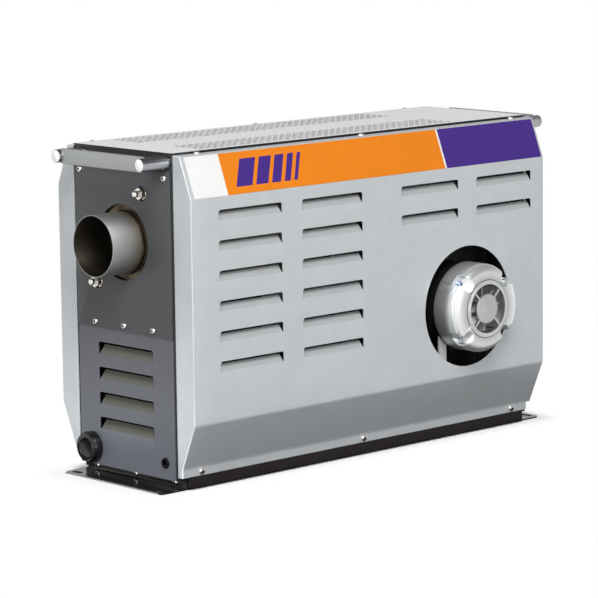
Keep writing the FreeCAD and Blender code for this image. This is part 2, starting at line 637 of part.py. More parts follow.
def make_screws():
    screw = screw_solid(s.screw_head_radius, s.screw_head_height, s.screw_radius, s.screw_length)
    group("top_flange_screws", screw,
          [(point(x, across(side, s.top_screw_inset), z_top), UPRIGHT) for side in (-1, 1) for x in screw_xs])
    group("strip_screws", screw,
          [(point(x, across(side, s.bottom_inset), strip_screw_z), turn)
           for side, turn in ((-1, FACING_FRONT), (1, ALONG_Y)) for x in screw_xs])
    ends = ((x_out, y_plate, AGAINST_X), (x_rear, y_mid, ALONG_X))
    group("end_plate_screws", screw,
          [(point(x, middle + side * plate_screw_half, plate_screw_z), turn)
           for x, middle, turn in ends for side in (-1, 1)])
    seam_places = [point(x_out, y_plate + k * s.seam_screw_spacing, seam_screw_z) for k in (-1, 0, 1)]
    group("seam_screws", screw, [(place, AGAINST_X) for place in seam_places])
    wall = s.foot_setback - s.foot_sheet
    group("foot_screws", screw,
          [(point(x, y_mid + k * s.foot_screw_spacing, s.foot_screw_height), turn)
           for x, turn in ((x_out + wall, AGAINST_X), (x_rear - wall, ALONG_X)) for k in (-1, 0, 1)])


def make_outlet():
    """The outlet tube, the plate that carries it and the studs and nuts seen through the end plate."""
    bore = s.tube_radius + s.weld_gap
    tube = Piece("outlet_tube", (x_out - s.tube_projection, y_mid, tube_z), ALONG_X)
    run = mount_plate_x - x_out + s.tube_projection
    length = run + s.mount_plate_sheet + s.case_wall
    inside, bead = s.tube_radius - s.tube_wall, s.tube_wall
    outside = s.tube_radius
    tube.spin([(inside, ZERO), (outside, ZERO), (outside, run - bead), (outside + bead, run),
               (outside, run), (outside, length), (inside, length)])

    plate = Piece("heater_mount_plate")
    side = plate_half - 2 * s.frame_sheet
    low, high = s.seam_height + s.seam_lap + s.mount_plate_lift, plate_screw_z + s.mount_plate_edge
    plate.add("X", mount_plate_x, case_start, rectangle(y_mid - side, low, y_mid + side, high),
              circle(y_mid, tube_z, bore),
              *[circle(y_plate + dy, tube_z + dz, s.stud_radius + s.screw_clearance) for dy, dz in studs],
              *[circle(y_plate + k * plate_screw_half, plate_screw_z, screw_hole) for k in (-1, 1)])

    case = Piece("heater_case", (case_start, y_mid, tube_z), ALONG_X)
    wall = s.case_radius - s.case_wall
    run = case_end - case_start
    case.spin([(bore, ZERO), (s.case_flange_radius, ZERO), (s.case_flange_radius, s.case_wall),
               (s.case_radius, s.case_wall), (s.case_radius, run), (wall, run),
               (wall, s.case_wall), (bore, s.case_wall)])

    jacket = Piece("insulation_jacket", (case_start + 2 * s.case_wall, y_mid, tube_z), ALONG_X)
    length = run - 6 * s.case_wall
    jacket.spin([(s.case_radius + s.weld_gap, ZERO), (s.jacket_radius, ZERO),
                 (s.jacket_radius, length), (s.case_radius + s.weld_gap, length)])

    reach = number(case_start - x_out + s.stud_reach)
    stud = turned_solid([(0, 0), (s.stud_radius, 0), (s.stud_radius, reach - 1), (s.stud_radius - 1, reach),
                         (0, reach)])
    group("flange_studs", stud,
          [(point(case_start, y_plate + dy, tube_z + dz), AGAINST_X) for dy, dz in studs])
    bore = s.stud_radius + s.weld_gap
    rise = s.washer_height
    washer = turned_solid([(bore, 0), (s.washer_radius, 0), (s.washer_radius, rise), (bore, rise)])
    nut = hexagon_solid(s.stud_nut_flats, bore, s.stud_nut_height)
    nut.translate(point(0, 0, rise))
    group("stud_nuts", washer.fuse(nut),
          [(point(mount_plate_x, y_plate + dy, tube_z + dz), AGAINST_X) for dy, dz in studs])


def make_heater():
    """Sheathed heating rods held by two vented ceramic discs, and the saddle under the case."""
    count = int(number(s.element_count))
    start, end = case_start + s.element_margin, case_end - s.element_margin / 2
    rods = []
    for k in range(count):
        dy, dz = turned(s.element_circle, 360.0 * (k + 0.5) / count)
        rods.append((point(start, y_mid + dy, tube_z + dz), ALONG_X))
    length = number(end - start)
    rod = turned_solid([(0, 0), (s.element_radius, 0), (s.element_radius, length), (0, length)])
    group("heating_rods", rod, rods)
    outer = s.case_radius - s.case_wall - s.weld_gap
    for label, x in (("outlet_rod_support", start + s.support_margin),
                     ("blower_rod_support", end - s.support_margin - s.support_disc)):
        disc = Piece(label, (x, y_mid, tube_z), ALONG_X)
        disc.spin([(s.vent_radius, ZERO), (outer, ZERO), (outer, s.support_disc),
                   (s.vent_radius, s.support_disc)])
        rod_hole = disc.cut("Z", -s.support_disc, 2 * s.support_disc,
                            circle(s.element_circle, ZERO, s.element_radius + s.weld_gap))
        disc.ring([rod_hole], s.element_count)
        du, dv = turned(s.element_circle, 180.0 / count)
        vent = disc.cut("Z", -s.support_disc, 2 * s.support_disc, circle(du, dv, s.vent_radius))
        disc.ring([vent], s.element_count)

    saddle = Piece("heater_saddle")
    x = case_end - s.saddle_margin
    half = s.saddle_width / 2
    saddle.add("X", x, x + s.saddle_sheet,
               rectangle(y_mid - half, z_pan, y_mid + half, tube_z - s.saddle_foot))
    saddle.add("Z", z_pan, z_pan + s.saddle_sheet,
               rectangle(x - s.saddle_foot, y_mid - half, x + s.saddle_sheet, y_mid + half))
    saddle.cut("X", x - s.saddle_sheet, x + 2 * s.saddle_sheet,
               circle(y_mid, tube_z, s.jacket_radius + s.weld_gap))


def scroll_face(offset):
    """The flow outline of the blower about the motor axis, grown outwards by its wall."""
    reach, start, tongue = number(s.outlet_reach), number(s.scroll_start), number(s.tongue_reach)
    roof = number(s.outlet_rise + s.outlet_height / 2)
    sill = roof - number(s.outlet_height)
    step = number(scroll_step)
    arcs = [((step / 2, -step / 2), start + step / 2, 180), ((step / 2, step / 2), start + 3 * step / 2, 270),
            ((-step / 2, step / 2), start + 5 * step / 2, 360)]

    def spot(centre, radius, angle):
        turn = math.radians(angle)
        return FreeCAD.Vector(centre[0] + radius * math.cos(turn), 0, centre[1] + radius * math.sin(turn))

    sill_end = FreeCAD.Vector(-reach, 0, sill)
    roof_end = FreeCAD.Vector(-reach, 0, roof)
    nose = FreeCAD.Vector(-tongue, 0, sill)
    edges = [Part.LineSegment(sill_end, nose),
             Part.Arc(nose, spot((0, 0), start * 1.05, 150), spot(*arcs[0]))]
    for centre, radius, angle in arcs:
        edges.append(Part.Arc(*[spot(centre, radius, angle + turn) for turn in (0, 45, 90)]))
    edges.append(Part.LineSegment(spot(arcs[2][0], arcs[2][1], 450), roof_end))
    edges.append(Part.LineSegment(roof_end, sill_end))
    face = Part.Face(Part.Wire([edge.toShape() for edge in edges]))
    if not offset:
        return face
    limit = Part.makeBox(4 * roof, 2, 4 * roof, FreeCAD.Vector(-reach, -1, -2 * roof))
    return face.makeOffset2D(number(offset)).common(limit)


def blower_slab(outline, start, depth):
    moved = outline.copy()
    moved.translate(point(motor_x, start, motor_z))
    return moved.extrude(point(0, depth, 0))


def make_blower():
    """A scroll of bent strip between two flat plates, with an inlet ring on the far side."""
    gauge = s.scroll_sheet
    outer, flow = scroll_face(gauge), scroll_face(None)
    coded("blower_scroll", blower_slab(outer, scroll_back, s.scroll_width)
          .cut(blower_slab(flow, scroll_back, s.scroll_width)))
    axis = FreeCAD.Vector(0, 1, 0)
    for label, start, radius in (("blower_back_plate", drive_back, s.boss_radius),
                                 ("blower_inlet_cover", scroll_front, s.inlet_radius + s.inlet_lip)):
        hole = Part.makeCylinder(number(radius), number(gauge), point(motor_x, start, motor_z), axis)
        coded(label, blower_slab(outer, start, gauge).cut(hole))

    ring = Piece("inlet_ring", (motor_x, scroll_front, motor_z), ALONG_Y)
    lip, throat = s.inlet_lip, s.inlet_radius
    neck = throat + lip - s.weld_gap
    ring.spin([(throat, -gauge), (throat + gauge, -gauge), (neck, gauge / 2), (neck, gauge),
               (throat + 2 * lip, gauge), (throat + 2 * lip, 2 * gauge), (neck - gauge, 2 * gauge)])

    stand = Piece("scroll_stand", (motor_x, y_mid, z_pan))
    half, plate = s.stand_width / 2, s.stand_sheet
    top = motor_z - s.scroll_start - scroll_step - gauge - s.weld_gap - z_pan
    stand.add("X", -plate / 2, plate / 2, rectangle(-half, ZERO, half, top))
    stand.add("Z", ZERO, plate, rectangle(-half, -half, half, half))
    stand.add("Z", top - plate, top, rectangle(-half, -half, half, half))


def make_adapter():
    """The folded duct that turns the blower's square outlet into the round heater case."""
    folds = 5
    signs = ((1, 1), (-1, 1), (-1, -1), (1, -1), (1, 1))

    def solid(grow):
        radius = number(s.case_radius - s.case_wall) + grow
        width, height = number(s.scroll_width) / 2 + grow, number(s.outlet_height) / 2 + grow
        turn = math.atan2(height, width)
        angles = [turn, math.pi - turn, math.pi + turn, 2 * math.pi - turn, 2 * math.pi + turn]
        end = case_end + s.adapter_length
        corners = [point(end, y_mid + a * width, tube_z + b * height) for a, b in signs]
        round_end, square_end = [], []
        for side in range(4):
            for fold in range(folds):
                share = fold / folds
                angle = angles[side] + (angles[side + 1] - angles[side]) * share
                round_end.append(point(case_end, y_mid + radius * math.cos(angle),
                                       tube_z + radius * math.sin(angle)))
                square_end.append(corners[side] + (corners[side + 1] - corners[side]) * share)
        wires = [Part.makePolygon(ends + ends[:1]) for ends in (round_end, square_end)]
        return Part.makeLoft(wires, True, True)

    coded("duct_adapter", solid(number(s.case_wall)).cut(solid(0.0)))


def make_impeller():
    """A backward-curved wheel: back disc with hub, blades and a front shroud ring."""
    wheel = Piece("impeller", (motor_x, scroll_back + s.impeller_back_gap, motor_z), ALONG_Y)
    gauge, rim, bore = s.impeller_sheet, s.impeller_radius, s.shaft_radius + s.running_gap
    height = s.scroll_width - s.impeller_back_gap - s.impeller_front_gap
    wheel.spin([(bore, ZERO), (rim, ZERO), (rim, gauge), (s.hub_radius, gauge), (s.hub_radius, s.hub_length),
                (bore, s.hub_length)])
    tip = rim - gauge / 2
    sweep = rim * 0.85
    blade = [(*turned(s.blade_inner, 0.0), -sweep), turned(tip, 34.0), (*turned(tip, 36.0), sweep),
             turned(s.blade_inner, 3.6)]
    blade_pad = wheel.add("Z", gauge / 2, height - gauge / 2, blade)
    wheel.ring([blade_pad], s.blade_count)
    eye = s.inlet_radius
    wheel.spin([(eye, height - gauge), (rim, height - gauge), (rim, height), (eye, height)])


def make_bell():
    """The motor's cast front bell: rounded shoulder, bolt scoops, side lands and a spoked grille."""
    bell = Piece("motor_bell", (motor_x, motor_nose, motor_z), ALONG_Y)
    rim, wall, bend, rise = s.bell_radius, s.bell_wall, s.bell_shoulder, s.ring_rise
    bell.spin([(s.grille_opening, ZERO), (s.grille_lip, ZERO), (s.grille_lip, rise / 2),
               (s.grille_ring, rise / 2), (s.grille_ring, rise),
               (rim - bend, rise, bend), (rim, rise + bend), (rim, s.bell_depth), (rim - wall, s.bell_depth),
               (rim - wall, rise + bend, wall - bend), (rim - bend, rise + wall),
               (s.grille_opening, rise + wall)])
    seat = turned(s.bolt_circle, 45.0)
    pillar = bell.add("Z", rise, s.bell_depth, circle(*seat, s.pocket_radius + s.pocket_wall))
    bell.ring([pillar], 4)
    skirt = rim + s.pocket_radius
    bell.spin([(rim - bend, ZERO), (skirt, ZERO), (skirt, s.bell_depth), (rim, s.bell_depth),
               (rim, rise + bend, -bend), (rim - bend, rise)], kind="Groove")
    front = rise + bend / 2
    land = bell.spin([(rim - wall, front), (rim + s.land_rise / 2, front - s.land_rise),
                      (rim + s.land_rise, front), (rim + s.land_rise, front + s.land_length),
                      (rim - wall, front + s.land_length)], angle=s.land_angle)
    bell.ring([land], 2)
    floor = s.bell_depth - s.pocket_floor
    lean = math.sqrt(0.5)
    scoop = s.pocket_radius
    slant, out = scoop * lean, s.bell_radius * lean
    pocket = bell.cut("Z", -rise, floor,
                      [(seat[0] - slant + out, seat[1] + slant + out),
                       (seat[0] - slant, seat[1] + slant, scoop),
                       (seat[0] - slant, seat[1] - slant, scoop),
                       (seat[0] + slant, seat[1] - slant),
                       (seat[0] + slant + out, seat[1] - slant + out)])
    bolt_radius = s.bell_screw_radius + s.screw_clearance
    bolt_hole = bell.cut("Z", -rise, s.bell_depth + rise, circle(*seat, bolt_radius))
    bell.ring([pocket, bolt_hole], 4)
    bell.spin([(ZERO, ZERO), (rise, rise / 2), (s.grille_hub - rise, rise / 2), (s.grille_hub, rise),
               (s.grille_hub, rise + wall), (ZERO, rise + wall)])
    near, far = (s.grille_hub - wall) * lean, (s.grille_opening + rise) * lean
    half = s.spoke_width / 2 * lean
    spoke = bell.add("Z", rise, rise + wall, [(near + half, near - half), (far + half, far - half),
                                              (far - half, far + half), (near - half, near + half)])
    bell.ring([spoke], 4)
    bolt = screw_solid(s.bell_head_radius, s.bell_head_height, s.bell_screw_radius,
                       s.pocket_floor + s.shield_sheet - s.weld_gap)
    seats = [turned(s.bolt_circle, 45.0 + 90.0 * k) for k in range(4)]
    group("bell_bolts", bolt,
          [(point(motor_x + du, motor_nose + floor, motor_z + dv), FACING_FRONT) for du, dv in seats])


def make_motor():
    """End shields, frame tube, stator, rotor, bearings, shaft and the small cooling fan."""
    seat = s.bearing_radius + s.seat_gap
    lip = s.bearing_radius * 0.7
    gauge = s.shield_sheet
    shield = Piece("front_end_shield", (motor_x, bell_back, motor_z), ALONG_Y)
    shield.spin([(lip, ZERO), (s.bell_radius, ZERO), (s.bell_radius, gauge), (s.boss_radius, gauge),
                 (s.boss_radius, gauge + s.boss_length), (seat, gauge + s.boss_length), (seat, gauge / 2),
                 (lip, gauge / 2)])
    hole = shield.cut("Z", -gauge, 2 * gauge,
                      circle(*turned(s.bolt_circle, 45.0), s.bell_screw_radius + s.screw_clearance))
    shield.ring([hole], 4)
    drive = Piece("drive_end_shield", (motor_x, drive_back, motor_z), ALONG_Y)
    drive.spin([(lip, ZERO), (lip, -gauge / 2), (seat, -gauge / 2), (seat, -gauge - s.boss_length),
                (s.boss_radius, -gauge - s.boss_length), (s.boss_radius, -gauge), (s.motor_radius, -gauge),
                (s.motor_radius, ZERO)])
    frame = Piece("motor_frame", (motor_x, bell_back + gauge, motor_z), ALONG_Y)
    run = drive_back - bell_back - 2 * gauge
    bore = s.motor_radius - s.motor_wall
    frame.spin([(bore, ZERO), (s.motor_radius, ZERO), (s.motor_radius, run), (bore, run)])

    for label, y in (("front_bearing", bell_back + gauge / 2),
                     ("drive_bearing", drive_back - gauge / 2 - s.bearing_width)):
        bearing = Piece(label, (motor_x, y, motor_z), ALONG_Y)
        inner, width = s.shaft_radius + s.running_gap, s.bearing_width
        middle, dip = (s.shaft_radius + s.bearing_radius) / 2, width / 10
        bearing.spin([(inner, ZERO), (middle - dip, ZERO), (middle - dip, dip), (middle + dip, dip),
                      (middle + dip, ZERO), (s.bearing_radius, ZERO), (s.bearing_radius, width),
                      (middle + dip, width), (middle + dip, width - dip), (middle - dip, width - dip),
                      (middle - dip, width), (inner, width)])

    half = s.core_length / 2
    outer = bore - s.weld_gap
    core = Piece("stator_core", (motor_x, core_middle, motor_z), ALONG_Y)
    core.spin([(s.core_bore, -half), (outer, -half), (outer, half), (s.core_bore, half)])
    for label, start, end in (("front_winding", -half - s.winding_length, -half),
                              ("drive_winding", half, half + s.winding_length)):
        coil = Piece(label, (motor_x, core_middle, motor_z), ALONG_Y)
        inside, outside, ease = s.core_bore + 2, outer - 4, s.winding_length / 3
        coil.spin([(inside + ease, start), (outside - ease, start), (outside, start + ease),
                   (outside, end - ease), (outside - ease, end), (inside + ease, end),
                   (inside, end - ease), (inside, start + ease)])
    rotor = Piece("rotor_core", (motor_x, core_middle, motor_z), ALONG_Y)
    hub, edge = s.shaft_radius + s.running_gap, s.core_bore - s.air_gap
    rotor.spin([(hub, -half), (edge, -half), (edge, half), (hub, half)])

    fan_start = motor_nose + s.ring_rise + s.bell_wall + s.fan_gap
    shaft = Piece("motor_shaft", (motor_x, fan_start, motor_z), ALONG_Y)
    length = scroll_back + s.impeller_back_gap + s.hub_length - fan_start
    ease = s.shaft_radius / 5
    shaft.spin([(ZERO, ZERO), (s.shaft_radius - ease, ZERO), (s.shaft_radius, ease),
                (s.shaft_radius, length - ease), (s.shaft_radius - ease, length), (ZERO, length)])

    fan = Piece("cooling_fan", (motor_x, fan_start, motor_z), ALONG_Y)
    fan.spin([(hub, ZERO), (s.hub_radius, ZERO), (s.hub_radius, s.fan_depth), (hub, s.fan_depth)])
    pitch = 1.4 * s.spoke_width
    blade = fan.add("X", s.hub_radius * 0.85, s.fan_radius,
                    [(-pitch, ZERO), (2 - pitch, ZERO), (pitch, s.fan_depth), (pitch - 2, s.fan_depth)])
    fan.ring([blade], s.fan_blades)

    bracket = Piece("motor_bracket", (motor_x, ZERO, motor_z))
    plate, floor, top = s.bracket_sheet, z_pan - motor_z, -s.cradle_drop
    first = across(-1, s.bottom_inset + s.panel_sheet + 2 * s.pan_sheet)
    last = first + s.bracket_length
    front = bell_back + gauge + s.bracket_gap
    high, low = z_face - s.bracket_jog - motor_z, z_band + s.bracket_jog - motor_z
    side = (s.leg_spacing + s.leg_width) / 2
    bracket.add("Z", floor, floor + plate, rectangle(-side, first, side, last))
    leg = [(front, top), (front, high), (first, low), (first, floor),
           (first + plate, floor), (first + plate, low), (front + plate, high), (front + plate, top)]
    for start in (-side, side - s.leg_width):
        end = start + s.leg_width
        bracket.add("X", start, end, leg)
        bracket.add("Y", last - plate, last, rectangle(start, floor, end, top))
    bracket.cut("Y", front - plate, last + plate, circle(ZERO, ZERO, s.motor_radius + s.weld_gap))


def make_entries():
    """The closed cable gland with its locknut, a rubber control grommet and the terminal block inside."""
    face = x_out + s.plate_sheet
    gland = Piece("cable_gland", (face, y_plate + gland_half, s.gland_height), AGAINST_X)
    depth, grip = s.gland_depth, s.gland_radius
    dome, dish = s.gland_depth * 0.65, s.gland_depth * 0.93
    sides = 10
    gland.add("Z", ZERO, dome, [turned(grip, 360.0 * (k + 0.5) / sides) for k in range(sides)])
    gland.spin([(ZERO, -s.gland_spigot_length), (s.gland_spigot, -s.gland_spigot_length),
                (s.gland_spigot, dome), (grip * 0.93, dome), (grip * 0.85, depth), (grip * 0.62, depth),
                (grip * 0.58, dish), (ZERO, dish)])
    nut = hexagon_solid(2 * s.gland_nut_radius, s.gland_spigot + s.weld_gap, s.gland_nut_height)
    group("gland_locknut", nut,
          [(point(x_out + plate_stack, y_plate + gland_half, s.gland_height), ALONG_X)])

    grommet = Piece("control_grommet", (face, y_plate - grommet_half, s.grommet_height), AGAINST_X)
    lip, neck, sheet_gap = s.grommet_lip, s.grommet_neck, s.plate_sheet
    grommet.spin([(s.grommet_bore, -sheet_gap - lip), (s.grommet_radius, -sheet_gap - lip),
                  (s.grommet_radius, -sheet_gap), (neck, -sheet_gap), (neck, ZERO), (s.grommet_radius, ZERO),
                  (s.grommet_radius - lip / 2, lip), (s.grommet_bore, lip)])

    block = Piece("terminal_block", (x_out + s.block_reach, y_mid + gland_half / 2, z_pan))
    width, wall = s.block_width / 2, s.block_barrier
    block.add("Z", ZERO, s.block_height / 2, rectangle(ZERO, -width, s.block_length, width))
    barrier = block.add("X", ZERO, wall, rectangle(-width, ZERO, width, s.block_height))
    block.row([barrier], "X", (s.block_length - wall) / s.block_ways, number(s.block_ways) + 1)


make_panels()
make_pan()
make_feet()
make_end_frames()
make_rails()
make_end_plates()
make_cover()
make_handles()
make_screws()
make_outlet()
make_heater()
make_blower()
make_adapter()
make_impeller()
make_bell()
make_motor()
make_entries()
doc.recompute()

faults = []
for item in doc.Objects:
    if "Invalid" in item.State or "Error" in item.State:
        faults.append(f"{item.Name}: {item.State}")
for piece in pieces:
    if piece.Shape.isNull() or not piece.Shape.isValid():
        faults.append(f"{piece.Label}: shape not valid")
if faults:
    raise SystemExit("\n".join(faults))

os.makedirs("parts", exist_ok=True)
for piece in pieces:
    piece.Shape.exportStep(f"parts/{piece.Label}.step")
print(len(pieces), "pieces written")
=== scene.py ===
import bpy, bmesh, math
from mathutils import Matrix, Vector


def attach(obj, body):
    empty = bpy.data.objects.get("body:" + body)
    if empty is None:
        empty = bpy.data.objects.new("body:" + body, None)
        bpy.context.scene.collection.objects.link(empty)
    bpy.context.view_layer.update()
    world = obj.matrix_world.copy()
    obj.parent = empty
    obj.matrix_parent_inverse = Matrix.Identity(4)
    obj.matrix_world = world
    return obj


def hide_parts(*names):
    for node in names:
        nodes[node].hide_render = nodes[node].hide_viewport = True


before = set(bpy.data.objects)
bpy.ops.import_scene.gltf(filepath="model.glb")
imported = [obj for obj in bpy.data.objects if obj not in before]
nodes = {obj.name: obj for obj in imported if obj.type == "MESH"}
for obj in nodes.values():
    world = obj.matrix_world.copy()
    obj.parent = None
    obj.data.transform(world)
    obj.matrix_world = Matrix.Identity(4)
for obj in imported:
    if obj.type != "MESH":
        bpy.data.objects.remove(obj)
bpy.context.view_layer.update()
scene = bpy.context.scene
print("frame loaded,", len(nodes), "nodes")

# the heater's main lines, in millimetres, as the solids have them
cabinet = {
    "outletX": -304.3, "rearX": 312.7, "midY": 18.0, "halfWidth": 125.3,
    "stripZ": 17.0, "bandZ": 27.8, "faceZ": 83.8, "labelZ": 357.8, "topZ": 408.6, "coverZ": 411.3,
    "topInset": 19.8, "bottomInset": 23.8, "flangeInset": 31.8, "gauge": 1.2,
    "plateHalf": 92.2, "outletMid": 20.5, "outletHalf": 89.7, "motorX": 168.7, "motorZ": 175.5,
}
perMetre = 1000
tolerance = {"spot": 0.01, "skin": 0.1, "merge": 0.0005, "solid": 0.002}  # how near counts as the same place
faceTurns = {  # turns that send a piece's own Z along the named direction
    "up": Matrix.Identity(4),
    "outlet": Matrix.Rotation(math.radians(-90), 4, "Y"),
    "rear": Matrix.Rotation(math.radians(90), 4, "Y"),
    "front": Matrix.Rotation(math.radians(90), 4, "X"),
    "back": Matrix.Rotation(math.radians(-90), 4, "X"),
}


# finishes

texture = {
    "mottleStops": (0.35, 0.65), "grainDetail": 2.0, "grainDepth": 0.0004,
    "castScale": 900.0, "castSpread": 0.06, "castBump": 0.06,
    "tintScale": 45.0, "tintDetail": 4.0, "tintWaver": 0.18,
    "brushStretch": (420, 18, 18), "brushScale": 4.0, "brushSpread": 0.1, "brushBump": 0.05,
    "brushDepth": 0.0003,
}


def shaderNodes(name):
    mat = bpy.data.materials.new(name)
    mat.use_nodes = True
    return mat, mat.node_tree, mat.node_tree.nodes["Principled BSDF"]


def addNode(tree, kind, operation=None, **inputs):
    node = tree.nodes.new(kind)
    if operation:
        node.operation = operation
    for key, value in inputs.items():
        node.inputs[key.replace("_", " ")].default_value = value
    return node


def mathNode(tree, operation, *values):
    node = addNode(tree, "ShaderNodeMath", operation)
    for socket, value in zip(node.inputs, values):
        if isinstance(value, (int, float)):
            socket.default_value = value
        else:
            tree.links.new(value, socket)
    return node.outputs["Value"]


def mapped(tree, source, blend="LINEAR", **limits):
    node = addNode(tree, "ShaderNodeMapRange", **limits)
    node.interpolation_type = blend
    tree.links.new(source, node.inputs["Value"])
    return node.outputs["Result"]


def placeAxes(tree, source="Object"):
    place = tree.nodes.new("ShaderNodeTexCoord")
    split = tree.nodes.new("ShaderNodeSeparateXYZ")
    tree.links.new(place.outputs[source], split.inputs["Vector"])
    return split.outputs


def placeOn(tree, **mapping):
    place = tree.nodes.new("ShaderNodeTexCoord")
    node = addNode(tree, "ShaderNodeMapping", **mapping)
    tree.links.new(place.outputs["Object"], node.inputs["Vector"])
    return node.outputs["Vector"]


def noiseOn(tree, stretch, scale, detail=3.0):
    noise = addNode(tree, "ShaderNodeTexNoise", Scale=scale, Detail=detail)
    tree.links.new(placeOn(tree, Scale=stretch), noise.inputs["Vector"])
    return noise.outputs["Fac"]


def ramp(tree, source, stops):
    node = tree.nodes.new("ShaderNodeValToRGB")
    node.color_ramp.elements.remove(node.color_ramp.elements[1])
    for index, (spot, colour) in enumerate(stops):
        element = node.color_ramp.elements[0] if index == 0 else node.color_ramp.elements.new(spot)
        element.position = spot
        element.color = (*colour, 1)
    tree.links.new(source, node.inputs["Fac"])
    return node.outputs["Color"]


def surfaceGrain(tree, surface, grain, rough, spread, bump, depth):
    roughness = mapped(tree, grain, To_Min=rough - spread, To_Max=rough + spread)
    tree.links.new(roughness, surface.inputs["Roughness"])
    if bump:
        relief = addNode(tree, "ShaderNodeBump", Strength=bump, Distance=depth)
        tree.links.new(grain, relief.inputs["Height"])
        tree.links.new(relief.outputs["Normal"], surface.inputs["Normal"])


def coat(name, colour, rough, metal=0.0, mottle=0.02, mottleScale=30.0, grainScale=700.0, roughSpread=0.06,
         bump=0.03, stretch=(1, 1, 1), shine=0.5, lightByHeight=None):
    mat, tree, surface = shaderNodes(name)
    shades = [[min(c * share, 1) for c in colour] for share in (1 - mottle, 1 + mottle)]
    tint = ramp(tree, noiseOn(tree, stretch, mottleScale), zip(texture["mottleStops"], shades))
    if lightByHeight:  # painted light: a lower and an upper Z, each with the paint's strength there
        (low, lowShare), (high, highShare) = lightByHeight
        strength = mapped(tree, placeAxes(tree)["Z"], From_Min=low / perMetre, From_Max=high / perMetre,
                          To_Min=lowShare, To_Max=highShare)
        scaled = addNode(tree, "ShaderNodeVectorMath", "SCALE")
        tree.links.new(tint, scaled.inputs[0])
        tree.links.new(strength, scaled.inputs["Scale"])
        tint = scaled.outputs["Vector"]
    tree.links.new(tint, surface.inputs["Base Color"])
    grain = noiseOn(tree, stretch, grainScale, texture["grainDetail"])
    surfaceGrain(tree, surface, grain, rough, roughSpread, bump, texture["grainDepth"])
    surface.inputs["Metallic"].default_value = metal
    surface.inputs["Specular IOR Level"].default_value = shine
    return mat


def castMetalRadialLight(name, stops, rough, metal, reach):
    mat, tree, surface = shaderNodes(name)  # cast metal whose tint changes outwards from the motor's axis: painted shade and painted highlights in rings
    t = texture
    middle = (-cabinet["motorX"] / perMetre, 0, -cabinet["motorZ"] / perMetre)
    span = addNode(tree, "ShaderNodeVectorMath", "LENGTH")
    tree.links.new(placeOn(tree, Location=middle, Scale=(1, 0, 1)), span.inputs[0])
    outwards = mapped(tree, span.outputs["Value"], From_Min=reach[0] / perMetre, From_Max=reach[1] / perMetre)
    tree.links.new(ramp(tree, outwards, stops), surface.inputs["Base Color"])
    grain = noiseOn(tree, (1, 1, 1), t["castScale"], t["grainDetail"])
    surfaceGrain(tree, surface, grain, rough, t["castSpread"], t["castBump"], t["grainDepth"])
    surface.inputs["Metallic"].default_value = metal
    return mat


def tubeSteel(name, stops, rough, fromX, toX):
    mat, tree, surface = shaderNodes(name)  # brushed steel whose tint changes along X
    t = texture
    along = mapped(tree, placeAxes(tree)["X"], From_Min=fromX / perMetre, From_Max=toX / perMetre)
    cloud = noiseOn(tree, (1, 1, 1), t["tintScale"], t["tintDetail"])
    waver = mathNode(tree, "MULTIPLY_ADD", cloud, t["tintWaver"], along)
    tree.links.new(ramp(tree, waver, stops), surface.inputs["Base Color"])
    brush = noiseOn(tree, t["brushStretch"], t["brushScale"])
    surfaceGrain(tree, surface, brush, rough, t["brushSpread"], t["brushBump"], t["brushDepth"])
    surface.inputs["Metallic"].default_value = 1.0
    return mat


